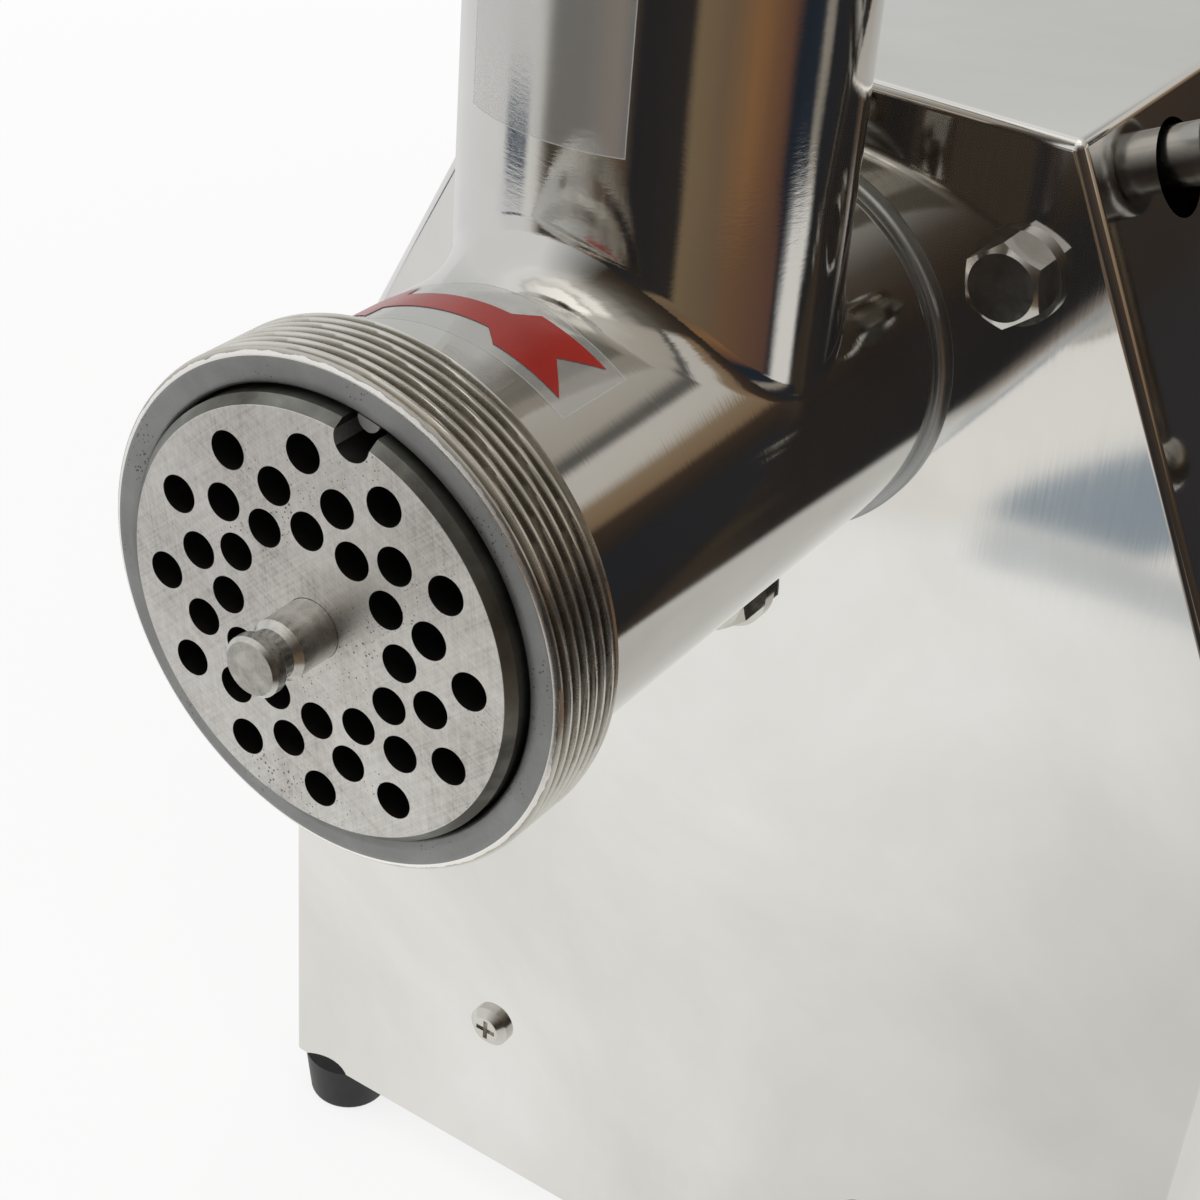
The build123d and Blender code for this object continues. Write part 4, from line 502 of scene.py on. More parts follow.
# %% [markdown]
# ## Finishes
# One function builds a metal or a plastic: a base colour that drifts between two tones with the smudges, a
# roughness that drifts the same way, and a faint bump from the scratches. The values make each finish its
# own.

# %% How a finish is made
SMUDGE_SHARE, SCRATCH_SHARE = 0.6, 0.4


def finish(name, low, high, metallic, smooth, rough, bump, scale, stretch, cloud,
           turn=(0.0, 0.0, 0.0), draw=(1.0, 1.0, 1.0)):
    """A material whose colour runs low to high and whose roughness runs smooth to rough."""
    material = bpy.data.materials.new(name)
    material.use_nodes = True
    tree = material.node_tree
    shader = tree.nodes["Principled BSDF"].inputs
    shader["Metallic"].default_value = metallic
    place = add_node(tree, "ShaderNodeTexCoord").outputs["Object"]
    turned = mapped(tree, place, Rotation=turn, Scale=draw)
    scratches = effect(tree, scratch_group, turned, Scale=scale, Stretch=stretch)
    smudges = effect(tree, smudge_group, place, Scale=cloud)
    tree.links.new(ramp(tree, smudges, [(0.32, low), (0.68, high)]), shader["Base Color"])
    smudged = math_node(tree, "MULTIPLY", smudges, SMUDGE_SHARE)
    mixed = math_node(tree, "ADD", smudged, math_node(tree, "MULTIPLY", scratches, SCRATCH_SHARE))
    tree.links.new(graded(tree, mixed, 0.3, 0.7, smooth, rough), shader["Roughness"])
    tree.links.new(bumped(tree, scratches, bump), shader["Normal"])
    return material


print("smudges and scratches share the roughness:", SMUDGE_SHARE, SCRATCH_SHARE)

# %% [markdown]
# Each row has the finish's name, its two tones, how metallic it is, its roughness from smooth to rough, the
# strength of its bump, and the scales of its scratches, of their stretch and of its smudges. The scratches
# of some finishes are also turned, or drawn out round a barrel.

# %% Finishes
ROUND_BARREL = {"draw": (0.02, 1.0, 0.02)}
ROUND_THROAT = {"draw": (0.25, 0.25, 1.0)}
ALONG_Y = {"turn": (math.radians(90), 0.0, 0.0)}
FINISHES = [
    ("polished_throat", (0.66, 0.65, 0.63), (0.72, 0.71, 0.69), 1.0, 0.03, 0.10, 0.06, 1500.0, 1.0, 26.0),
    ("lock_steel", (0.34, 0.33, 0.31), (0.46, 0.45, 0.43), 1.0, 0.16, 0.28, 0.05, 1500.0, 1.0, 90.0),
    ("pin_steel", (0.50, 0.49, 0.46), (0.74, 0.73, 0.695), 1.0, 0.20, 0.34, 0.14, 1800.0, 1.0, 420.0),
    ("polished_stainless", (0.66, 0.65, 0.63), (0.72, 0.71, 0.69), 1.0, 0.03, 0.10, 0.06, 1500.0, 1.0, 26.0),
    ("panel_stainless", (0.73, 0.72, 0.70), (0.89, 0.88, 0.87), 1.0, 0.03, 0.10, 0.012, 1500.0, 60.0, 11.0),
    ("ground_steel", (0.42, 0.40, 0.37), (0.55, 0.53, 0.50), 1.0, 0.28, 0.48, 0.25, 1400.0, 1.0, 60.0),
    ("fastener_steel", (0.60, 0.58, 0.54), (0.70, 0.68, 0.64), 1.0, 0.12, 0.24, 0.03, 900.0, 1.0, 120.0),
    ("gasket_grey", (0.38, 0.385, 0.385), (0.48, 0.485, 0.485), 1.0, 0.30, 0.40, 0.03, 500.0, 1.0, 60.0),
    ("foot_rubber", (0.010, 0.011, 0.012), (0.022, 0.023, 0.024), 0.0, 0.34, 0.52, 0.12, 1500.0, 1.0, 80.0),
    ("cast_alloy", (0.50, 0.51, 0.52), (0.62, 0.63, 0.64), 1.0, 0.42, 0.60, 0.5, 900.0, 1.0, 40.0),
    ("gear_steel", (0.36, 0.36, 0.35), (0.48, 0.48, 0.47), 1.0, 0.24, 0.38, 0.15, 900.0, 20.0, 60.0),
    ("bronze", (0.52, 0.36, 0.17), (0.68, 0.50, 0.25), 1.0, 0.26, 0.42, 0.15, 900.0, 1.0, 60.0),
    ("motor_paint", (0.060, 0.066, 0.072), (0.10, 0.11, 0.12), 0.0, 0.38, 0.52, 0.2, 700.0, 1.0, 40.0),
    ("core_steel", (0.22, 0.22, 0.23), (0.32, 0.32, 0.33), 1.0, 0.40, 0.55, 0.5, 600.0, 0.05, 40.0),
    ("copper", (0.44, 0.18, 0.07), (0.64, 0.31, 0.14), 1.0, 0.26, 0.40, 0.5, 500.0, 30.0, 60.0),
    ("black_plastic", (0.020, 0.020, 0.021), (0.034, 0.034, 0.035), 0.0, 0.36, 0.50, 0.15, 1500.0, 1.0, 80.0),
    ("red_plastic", (0.46, 0.024, 0.018), (0.56, 0.040, 0.030), 0.0, 0.18, 0.30, 0.05, 1500.0, 1.0, 80.0),
]
DRAWN_OUT = {
    "polished_throat": ROUND_THROAT,
    "pin_steel": ROUND_BARREL,
    "polished_stainless": ROUND_BARREL,
    "gear_steel": ALONG_Y,
    "core_steel": ALONG_Y,
    "copper": ALONG_Y,
}
RUBBER_SHEEN = 0.3
finishes = {row[0]: finish(*row, **DRAWN_OUT.get(row[0], {})) for row in FINISHES}
rubber_shader = finishes["foot_rubber"].node_tree.nodes["Principled BSDF"]
rubber_shader.inputs["Specular IOR Level"].default_value = RUBBER_SHEEN
print("finishes:", len(finishes))

# %% [markdown]
# ## Ground plate
# The plate was surface ground and then scoured: fine marks cross at several angles, with dark pits and grey
# stains. Three sets of drawn-out scratches at different turns give the cross-hatch, and small Voronoi cells
# give the pits. The walls of the holes are told from the face by the way they point, and get a dark colour,
# a painted shade for the inside of the holes.

# %% Ground plate
HATCH_TURNS = (8.0, 62.0, -48.0)
HATCH_SHARE, STAIN_SHARE, MOTTLE_SHARE = 0.55, 0.30, 0.15
GROUND_TONES = [
    (0.36, (0.48, 0.46, 0.44)),
    (0.47, (0.74, 0.72, 0.695)),
    (0.56, (0.86, 0.845, 0.82)),
    (0.66, (0.95, 0.935, 0.91)),
]
RIM_TONES = [(0.38, (0.11, 0.105, 0.092)), (0.62, (0.30, 0.305, 0.28))]
PIT_DARK, HOLE_SHADE = (0.07, 0.065, 0.06), (0.12, 0.112, 0.105)
PIT_STRENGTH, HATCH_BUMP, SIDEWAYS = 0.8, 0.18, 0.3
PLATE_DRIFT, PLATE_ROUGH, PLATE_SMOOTH = (0.35, 0.65), 0.52, 0.36
HOLES_WITHIN, RIM_FROM = 31.3, 33.65
plate_steel = bpy.data.materials.new("plate_steel")
plate_steel.use_nodes = True
tree = plate_steel.node_tree
shader = tree.nodes["Principled BSDF"].inputs
shader["Metallic"].default_value = 1.0
place = add_node(tree, "ShaderNodeTexCoord").outputs["Object"]
hatch = 0.0
for degrees in HATCH_TURNS:
    turned = mapped(tree, place, Rotation=(0.0, math.radians(degrees), 0.0))
    marks = effect(tree, scratch_group, turned, Scale=2600.0, Stretch=30.0)
    hatch = math_node(tree, "ADD", hatch, marks)
hatch = math_node(tree, "DIVIDE", hatch, len(HATCH_TURNS))
stains = effect(tree, smudge_group, place, Scale=55.0)
mottle = noise(tree, place, 650.0, Detail=3.0)
stained = math_node(tree, "MULTIPLY", stains, STAIN_SHARE)
mixed = math_node(tree, "ADD", math_node(tree, "MULTIPLY", hatch, HATCH_SHARE), stained)
mixed = math_node(tree, "ADD", mixed, math_node(tree, "MULTIPLY", mottle, MOTTLE_SHARE))
pits = effect(tree, pit_group, place, Scale=1300.0, Spread=70.0, Most=0.26)
pit_share = math_node(tree, "MULTIPLY", pits, PIT_STRENGTH)
pitted = blend(tree, pit_share, ramp(tree, mixed, GROUND_TONES), PIT_DARK)
# Painted shade: faces that point sideways within the ring of holes take a dark colour for the holes' inner
# walls.
_, facing_y, _ = split(tree, add_node(tree, "ShaderNodeNewGeometry").outputs["True Normal"])
sideways = math_node(tree, "LESS_THAN", math_node(tree, "ABSOLUTE", facing_y), SIDEWAYS)
out_from_axis = effect(tree, axis_group, place)
among_holes = math_node(tree, "LESS_THAN", out_from_axis, HOLES_WITHIN * MM)
holed = blend(tree, math_node(tree, "MULTIPLY", sideways, among_holes), pitted, HOLE_SHADE)
on_rim = math_node(tree, "GREATER_THAN", out_from_axis, RIM_FROM * MM)
tree.links.new(blend(tree, on_rim, holed, ramp(tree, stains, RIM_TONES)), shader["Base Color"])
tree.links.new(graded(tree, mixed, *PLATE_DRIFT, PLATE_ROUGH, PLATE_SMOOTH), shader["Roughness"])
tree.links.new(bumped(tree, hatch, HATCH_BUMP), shader["Normal"])
finishes["plate_steel"] = plate_steel
print("plate finish nodes:", len(tree.nodes))

# %% [markdown]
# ## Nose finishes
# The nose's machined face is duller and full of small pits. On the thread, painted shade darkens the grooves
# and leaves the crests lighter, so its colour follows the distance from the axis. A bright ragged burr
# runs round its front edge.

# %% Nose finishes
THREAD_RADIUS, THREAD_DEPTH, THREAD_PITCH, NOSE_Y = 41.0, 1.1, 2.0, -184.8
NOSE_FINISHES = [
    ("face_steel", (0.34, 0.345, 0.35), (0.46, 0.465, 0.47), 1.0, 0.44, 0.60, 0.25, 1500.0, 1.0, 90.0),
    ("thread_steel", (0.70, 0.68, 0.635), (0.84, 0.82, 0.775), 1.0, 0.19, 0.33, 0.08, 900.0, 1.0, 120.0),
]
# The second colour here is a painted shade for the thread's grooves.
FACE_PIT, GROOVE_SHADE, BURR_BRIGHT = (0.10, 0.10, 0.10), (0.42, 0.395, 0.355), (0.98, 0.96, 0.93)
GROOVE = THREAD_RADIUS - 0.70 * THREAD_DEPTH
CREST = THREAD_RADIUS - 0.08
BURR_WIDTH, BURR_RAGGED, FACE_PIT_STRENGTH = 0.62, 0.6, 0.75


def recolour(material, factor, colour, below):
    """Blends a colour into a finish: under its own tone where below is true, else over it."""
    tree = material.node_tree
    paint = tree.nodes["Principled BSDF"].inputs["Base Color"]
    own = paint.links[0].from_socket
    mixed = blend(tree, factor, colour, own) if below else blend(tree, factor, own, colour)
    tree.links.new(mixed, paint)


face_steel, thread_steel = [finish(*row) for row in NOSE_FINISHES]
tree = face_steel.node_tree
place = add_node(tree, "ShaderNodeTexCoord").outputs["Object"]
pits = effect(tree, pit_group, place, Scale=1400.0, Spread=80.0, Most=0.34)
recolour(face_steel, math_node(tree, "MULTIPLY", pits, FACE_PIT_STRENGTH), FACE_PIT, False)
tree = thread_steel.node_tree
place = add_node(tree, "ShaderNodeTexCoord").outputs["Object"]
# Painted shade: the thread's colour darkens from its crests down into its grooves.
groove_shade_fade = graded(tree, effect(tree, axis_group, place), GROOVE * MM, CREST * MM)
recolour(thread_steel, groove_shade_fade, GROOVE_SHADE, True)
_, nose_y, _ = split(tree, place)
ragged = math_node(tree, "MULTIPLY", noise(tree, place, 420.0, Detail=4.0), BURR_RAGGED * MM)
burr = math_node(tree, "LESS_THAN", math_node(tree, "ADD", nose_y, ragged), (NOSE_Y + BURR_WIDTH) * MM)
recolour(thread_steel, burr, BURR_BRIGHT, False)
finishes["face_steel"] = face_steel
finishes["thread_steel"] = thread_steel
print("nose finishes ready")

# %% [markdown]
# ## Dressing the solids
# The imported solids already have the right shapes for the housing, the plate, the fasteners and everything
# inside. Each only changes its material, by the finish that the real piece has.

# %% Dress the solids
NODE_FINISH = {
    "polished_stainless": ["grinder_head"],
    "lock_steel": ["lock_screw", "tommy_bar"],
    "panel_stainless": ["housing_shell", "rear_panel", "base_plate"],
    "plate_steel": ["grinding_plate"],
    "pin_steel": ["auger"],
    "ground_steel": ["cutter_knife", "lock_pad"],
    "face_steel": ["plate_key"],
    "fastener_steel": ["foot_screws", "foot_nuts", "panel_screws", "rear_screws", "flange_washers",
                       "flange_bolts", "cover_screws", "motor_tie_bolts", "cradle_screws", "capacitor_clamp"],
    "gasket_grey": ["head_gasket"],
    "foot_rubber": ["rubber_feet", "shaft_seal"],
    "cast_alloy": ["gearbox_housing", "gearbox_cover", "motor_front_bell", "motor_rear_bell"],
    "gear_steel": ["output_shaft", "output_gear", "output_bearings", "countershaft", "counter_gear",
                   "motor_shaft", "motor_bearings"],
    "bronze": ["thrust_washer", "auger_bushing", "counter_bushes"],
    "motor_paint": ["motor_shell", "motor_cradle", "run_capacitor"],
    "core_steel": ["rotor_core", "stator_core"],
    "copper": ["stator_windings"],
    "black_plastic": ["cooling_fan", "switch_body", "reset_breaker", "cord_gland", "gland_nut"],
    "red_plastic": ["switch_rocker", "reset_button"],
}
for finish_name, members in NODE_FINISH.items():
    for member in members:
        mesh = nodes[member].data
        mesh.materials.clear()
        mesh.materials.append(finishes[finish_name])
dressed = sum(len(members) for members in NODE_FINISH.values())
print("dressed", dressed, "of", len(nodes))

# %% [markdown]
# ## Grinder head
# The head is one polished casting: a barrel with a threaded nose, and a throat that grows out of its top. A
# boolean union with a bevel could join two tubes, but it can't give a seam that is broad at the front and
# sharp at the side, and its uneven faces would show as dents in a mirror. So flat grids are added and every
# vertex is laid on the true surface. The grids share their borders, and merging those makes one closed
# skin.

# %% Sizes of the head
THREAD_END_Y, HEAD_REAR_Y, SHANK_END_Y = -170.6, -65.5, -25.3
BARREL_FRONT_RADIUS, BARREL_TAPER, SHANK_RADIUS, JOURNAL_RADIUS = 36.2, 0.5, 26.0, 15.0
SEAT_RADIUS, SEAT_Y, BORE_RADIUS, REAR_WALL_Y = 35.5, -168.6, 30.0, -70.5
THROAT_RADIUS, THROAT_WALL, THROAT_TOP = 31.5, 4.6, 105.0
RIM_RADIUS, RIM_UNDER, MOUTH_RADIUS, MOUTH_FLOOR = 36.2, 96.0, 29.4, 93.0
CAP_STEPS, REST_STEPS, LONG_STEPS = 112, 144, 48


def barrel_radius(y):
    """The barrel tapers slightly towards the panel."""
    return BARREL_FRONT_RADIUS - BARREL_TAPER * (y - THREAD_END_Y) / (HEAD_REAR_Y - THREAD_END_Y)


def on_barrel(angle, y, radius):
    """A point at an angle from the top towards the right."""
    return (radius * math.sin(angle), y, AXIS_Z + radius * math.cos(angle))


def throat_point(phi, rise, thinner=0.0):
    """A point on the upright throat, at a direction round it and a height above the barrel's axis."""
    radius = THROAT_RADIUS - thinner
    return Vector((radius * math.cos(phi), THROAT_Y + radius * math.sin(phi), AXIS_Z + rise))


def laid_grid(name, rows):
    """A grid primitive whose vertices are laid on rows of points, given in millimetres."""
    bpy.ops.object.select_all(action="DESELECT")
    bpy.ops.mesh.primitive_grid_add(x_subdivisions=len(rows[0]) - 1, y_subdivisions=len(rows) - 1)
    sheet = bpy.context.object
    sheet.name = name
    flat = [value * MM for row in rows for point in row for value in point]
    sheet.data.vertices.foreach_set("co", flat)
    sheet.data.update()
    return sheet


print("barrel at the throat:", round(barrel_radius(THROAT_Y), 2))

# %% [markdown]
# ## Border rectangles
# Outside and inside, the throat's seam sits in a rectangle cut from the barrel, measured as angle and
# length. Its border points are walked once, and each gets a direction round the throat, so lines drawn from
# throat to border meet the barrel's own grid exactly.

# %% Border rectangles
OUTER_HALF, OUTER_FRONT, OUTER_REAR = math.radians(80), -158.0, -70.0
INNER_HALF, INNER_FRONT, INNER_REAR = math.radians(75), -141.0, -75.0


def span(start, end, steps):
    """Evenly spaced numbers, both ends included."""
    return [start + (end - start) * step / steps for step in range(steps + 1)]


def ring_angles(half):
    """Angles of a full turn: the part under the throat first, then the rest."""
    return span(-half, half, CAP_STEPS) + span(half, 2 * math.pi - half, REST_STEPS)[1:]


def border(half, front, rear):
    """(angle, y, direction round the throat) for each border point, once round and closed."""
    across = [(u, -1.0) for u in span(-1.0, 1.0, CAP_STEPS)]
    right = [(1.0, v) for v in span(-1.0, 1.0, LONG_STEPS)][1:]
    back = [(u, 1.0) for u in span(1.0, -1.0, CAP_STEPS)][1:]
    left = [(-1.0, v) for v in span(1.0, -1.0, LONG_STEPS)][1:]
    middle, half_length = (front + rear) / 2, (rear - front) / 2
    return [(u * half, middle + v * half_length, math.atan2(v, u)) for u, v in across + right + back + left]


outer_border = border(OUTER_HALF, OUTER_FRONT, OUTER_REAR)
inner_border = border(INNER_HALF, INNER_FRONT, INNER_REAR)
print("border points:", len(outer_border))

# %% [markdown]
# ## Seam lines
# One line of the casting starts at the bore, climbs the throat's inner wall, goes over the rim, comes down
# the outside and runs out along the barrel. Between wall and barrel a Bezier curve rounds the seam: its
# reach is largest at the front of the throat and small at the side and rear.

# %% Seam lines
SEAM_LEAST, SEAM_FRONT, FRONT_FROM, INNER_SEAM = 1.8, 8.2, 0.15, 1.2
MOST_OF_LINE, HANDLE, SLIGHT, SETTLE_STEPS = 0.7, 0.56, 0.05, 40


def seam_reach(phi):
    """How far the rounding runs from the seam, in millimetres."""
    front = max(0.0, (-math.sin(phi) - FRONT_FROM) / (1.0 - FRONT_FROM))
    return SEAM_LEAST + SEAM_FRONT * front * front


def crossing(phi, radius_at, thinner):
    """Height where the throat's wall meets the barrel."""
    rise = BORE_RADIUS
    for _ in range(SETTLE_STEPS):
        spot = throat_point(phi, rise, thinner)
        rise = math.sqrt(max(1.0, radius_at(spot.y) ** 2 - spot.x ** 2))
    return rise


def bezier(ends, part):
    """The point of a cubic curve with the four given points, at a part of its way."""
    a, b, c, d = ends
    left = 1.0 - part
    return a * left ** 3 + b * 3 * left * left * part + c * 3 * left * part * part + d * part ** 3


def seam(phi, end, radius_at, thinner, reach, wall_top, counts):
    """Points from the wall's top down through the rounding and along the barrel to the border."""
    wall_steps, round_steps, out_steps = counts
    low = crossing(phi, radius_at, thinner)
    spot = throat_point(phi, low, thinner)
    start = (math.atan2(spot.x, low), spot.y)
    length = math.hypot((end[0] - start[0]) * radius_at(spot.y), end[1] - start[1])

    def out(distance):
        part = distance / length
        y = start[1] + (end[1] - start[1]) * part
        return Vector(on_barrel(start[0] + (end[0] - start[0]) * part, y, radius_at(y)))

    reach = min(reach, MOST_OF_LINE * length)
    above = throat_point(phi, low + reach, thinner)
    down = (spot - above).normalized()
    outside = out(reach)
    onward = (out(reach + SLIGHT) - out(reach - SLIGHT)).normalized()
    ends = (above, above + down * reach * HANDLE, outside - onward * reach * HANDLE, outside)
    points = [throat_point(phi, rise, thinner) for rise in span(wall_top, low + reach, wall_steps)[:-1]]
    points += [bezier(ends, part) for part in span(0.0, 1.0, round_steps)]
    points += [out(distance) for distance in span(reach, length, out_steps)[1:]]
    return points


print("seam reach, front and rear:", seam_reach(-math.pi / 2), seam_reach(math.pi / 2))

# %% [markdown]
# The rim's profile goes from the mouth's floor up and over to its underside. Short steps of less than a
# millimetre round its edges.

# %% Throat
RIM_PROFILE = [
    (MOUTH_RADIUS, MOUTH_FLOOR),
    (MOUTH_RADIUS, THROAT_TOP - 1.0),
    (MOUTH_RADIUS + 0.2, THROAT_TOP - 0.4),
    (MOUTH_RADIUS + 0.8, THROAT_TOP),
    ((MOUTH_RADIUS + RIM_RADIUS) / 2, THROAT_TOP),
    (RIM_RADIUS - 0.8, THROAT_TOP),
    (RIM_RADIUS - 0.2, THROAT_TOP - 0.4),
    (RIM_RADIUS, THROAT_TOP - 1.0),
    (RIM_RADIUS, RIM_UNDER + 3.0),
    (RIM_RADIUS, RIM_UNDER + 1.0),
    (RIM_RADIUS - 0.2, RIM_UNDER + 0.3),
    (RIM_RADIUS - 0.8, RIM_UNDER),
    (THROAT_RADIUS + 2.0, RIM_UNDER),
]
INSIDE_STEPS, OUTSIDE_STEPS = (10, 4, 8), (20, 14, 16)


def bore_radius(_):
    """The bore is straight."""
    return BORE_RADIUS


columns = []
for (angle, y, phi), (in_angle, in_y, _) in zip(outer_border, inner_border):
    inside = seam(phi, (in_angle, in_y), bore_radius, THROAT_WALL, INNER_SEAM, MOUTH_FLOOR, INSIDE_STEPS)
    rim = [throat_point(phi, rise, THROAT_RADIUS - radius) for radius, rise in RIM_PROFILE]
    outside = seam(phi, (angle, y), barrel_radius, 0.0, seam_reach(phi), RIM_UNDER, OUTSIDE_STEPS)
    columns.append(inside[::-1] + rim + outside)
throat_sheet = laid_grid("throat_sheet", list(zip(*columns)))
print("throat grid:", len(columns), "by", len(columns[0]))

# %% [markdown]
# ## Nose, barrel and shank
# The rest is rings. The thread is a true helix: a ring's radius depends on both its place and the angle,
# with flat crests and wide grooves, and it fades out at both ends. Rings inside the bore use the inner
# angles, so the two sets of angles are mixed along the flat faces.

# %% Rings
THREAD_FADE_FROM, THREAD_FADE_FRONT, THREAD_FADE_REAR = 0.6, 1.2, 0.8
CREST_SHARE, FLANK_SHARE = 0.10, 0.42
outer_angles = ring_angles(OUTER_HALF)
inner_angles = ring_angles(INNER_HALF)


def ring(radius, y, inward=0.0):
    """A closed ring; inward mixes the outer angles with the inner ones."""
    mixed = [a + (b - a) * inward for a, b in zip(outer_angles, inner_angles)]
    return [on_barrel(angle, y, radius) for angle in mixed]


def thread_ring(y):
    """One ring through the thread, with its radius following the helix."""
    from_front = (y - NOSE_Y - THREAD_FADE_FROM) / THREAD_FADE_FRONT
    fade = max(0.0, min(1.0, from_front, (THREAD_END_Y - y) / THREAD_FADE_REAR))
    points = []
    for angle in outer_angles:
        turns = (y - NOSE_Y) / THREAD_PITCH - angle / (2 * math.pi)
        wave = 0.5 - 0.5 * math.cos(2 * math.pi * turns)
        sunk = min(1.0, max(0.0, (wave - CREST_SHARE) / FLANK_SHARE))
        sunk = sunk * sunk * (3.0 - 2.0 * sunk)
        points.append(on_barrel(angle, y, THREAD_RADIUS - THREAD_DEPTH * fade * sunk))
    return points


print("points in a ring:", len(outer_angles))

# %% [markdown]
# Each profile lists radius, place along the axis and how far the ring takes the inner angles. The first
# runs along the seat and over the nose's face, the second behind the thread, the third round the shank and
# its bore.

# %% Nose, barrel and shank
SEAT_PROFILE = [
    (BORE_RADIUS + 1.5, SEAT_Y, 1.0),
    (BORE_RADIUS + 3.5, SEAT_Y, 1.0),
    (SEAT_RADIUS - 0.5, SEAT_Y, 1.0),
    (SEAT_RADIUS, SEAT_Y - 0.3, 1.0),
    (SEAT_RADIUS, SEAT_Y - 3.4, 1.0),
    (SEAT_RADIUS, SEAT_Y - 9.4, 1.0),
    (SEAT_RADIUS, NOSE_Y + 1.0, 1.0),
    (SEAT_RADIUS + 0.2, NOSE_Y + 0.3, 1.0),
    (SEAT_RADIUS + 0.6, NOSE_Y, 1.0),
    (SEAT_RADIUS + 2.0, NOSE_Y, 0.7),
    (SEAT_RADIUS + 3.5, NOSE_Y, 0.3),
    (THREAD_RADIUS - 1.3, NOSE_Y, 0.0),
    (THREAD_RADIUS - 0.8, NOSE_Y + 0.2, 0.0),
    (THREAD_RADIUS - 0.3, NOSE_Y + 0.6, 0.0),
]
COLLAR_PROFILE = [
    (THREAD_RADIUS - 0.3, THREAD_END_Y),
    (THREAD_RADIUS - 0.8, THREAD_END_Y + 0.3),
    (BARREL_FRONT_RADIUS + 2.3, THREAD_END_Y + 0.4),
    (BARREL_FRONT_RADIUS + 0.8, THREAD_END_Y + 0.6),
    (BARREL_FRONT_RADIUS + 0.2, THREAD_END_Y + 1.1),
]
SHANK_PROFILE = [
    (BARREL_FRONT_RADIUS - 0.6, HEAD_REAR_Y - 0.07, 0.0),
    (BARREL_FRONT_RADIUS - 0.8, HEAD_REAR_Y, 0.0),
    (SHANK_RADIUS + 4.5, HEAD_REAR_Y, 0.0),
    (SHANK_RADIUS, HEAD_REAR_Y, 0.0),
    (SHANK_RADIUS, HEAD_REAR_Y + 0.5, 0.0),
    (SHANK_RADIUS, SHANK_END_Y - 20.7, 0.0),
    (SHANK_RADIUS, SHANK_END_Y - 0.8, 0.0),
    (SHANK_RADIUS - 0.7, SHANK_END_Y, 0.0),
    (JOURNAL_RADIUS + 5.0, SHANK_END_Y, 0.5),
    (JOURNAL_RADIUS + 0.5, SHANK_END_Y, 1.0),
    (JOURNAL_RADIUS, SHANK_END_Y - 0.5, 1.0),
    (JOURNAL_RADIUS, SHANK_END_Y - 24.7, 1.0),
    (JOURNAL_RADIUS, REAR_WALL_Y + 0.3, 1.0),
    (JOURNAL_RADIUS + 0.3, REAR_WALL_Y, 1.0),
    (JOURNAL_RADIUS + 7.0, REAR_WALL_Y, 1.0),
    (BORE_RADIUS - 0.5, REAR_WALL_Y, 1.0),
    (BORE_RADIUS, REAR_WALL_Y - 0.5, 1.0),
    (BORE_RADIUS, INNER_REAR, 1.0),
]


def barrel_part(angles, radius_at, start, end):
    """Rows along the barrel or its bore, beside the throat's rectangle."""
    beside = angles[CAP_STEPS:]
    return [[on_barrel(angle, y, radius_at(y)) for angle in beside] for y in span(start, end, LONG_STEPS)]


BARREL_STEPS, THREAD_STEPS, REAR_STEPS = 10, 132, 3
front_rows = [ring(BORE_RADIUS, y, 1.0) for y in span(INNER_FRONT, SEAT_Y, BARREL_STEPS)]
front_rows += [ring(*spot) for spot in SEAT_PROFILE]
front_rows += [thread_ring(y) for y in span(NOSE_Y + 0.9, THREAD_END_Y - 0.3, THREAD_STEPS)]
front_rows += [ring(*spot) for spot in COLLAR_PROFILE]
front_rows += [ring(barrel_radius(y), y) for y in span(THREAD_END_Y + 2.0, OUTER_FRONT, BARREL_STEPS)]
rear_rows = [ring(barrel_radius(y), y) for y in span(OUTER_REAR, HEAD_REAR_Y - 0.25, REAR_STEPS)]
rear_rows += [ring(*spot) for spot in SHANK_PROFILE]
sheets = [
    laid_grid("nose_sheet", front_rows),
    laid_grid("shank_sheet", rear_rows),
    laid_grid("barrel_sheet", barrel_part(outer_angles, barrel_radius, OUTER_FRONT, OUTER_REAR)),
    laid_grid("bore_sheet", barrel_part(inner_angles, bore_radius, INNER_FRONT, INNER_REAR)),
]
print("rings:", len(front_rows), len(rear_rows))

# %% [markdown]
# ## One closed casting
# The sheets are joined, their shared borders merged and their normals turned outwards. The count of open
# vertices has to be none.

# %% Close the casting
MERGE_WITHIN = 0.000004
SMOOTH_UP_TO = math.radians(38)


def pick(thing):
    """Selects one object alone and makes it the active one."""
    bpy.ops.object.select_all(action="DESELECT")
    thing.select_set(True)
    bpy.context.view_layer.objects.active = thing


def join_sheets(name, lead, others):
    """One named object from a leading sheet and the others."""
    pick(lead)
    for sheet in others:
        sheet.select_set(True)
    bpy.ops.object.join()
    lead.name = name
    return lead


def merge_borders(skin):
    """Merges a skin's shared borders and makes its faces agree."""
    pick(skin)
    bpy.ops.object.mode_set(mode="EDIT")
    bpy.ops.mesh.select_all(action="SELECT")
    bpy.ops.mesh.remove_doubles(threshold=MERGE_WITHIN)
    bpy.ops.mesh.normals_make_consistent(inside=False)
    bpy.ops.object.mode_set(mode="OBJECT")


def close_up(skin):
    """Merges a skin's borders and smooths it; gives the count of open vertices."""
    merge_borders(skin)
    bpy.ops.object.mode_set(mode="EDIT")
    bpy.ops.mesh.select_all(action="DESELECT")
    bpy.ops.mesh.select_non_manifold()
    bpy.ops.object.mode_set(mode="OBJECT")
    bpy.ops.object.shade_smooth_by_angle(angle=SMOOTH_UP_TO)
    return sum(vertex.select for vertex in skin.data.vertices)


head = join_sheets("head_casting", throat_sheet, sheets)
open_vertices = close_up(head)
print("head faces:", len(head.data.polygons), "open vertices:", open_vertices)

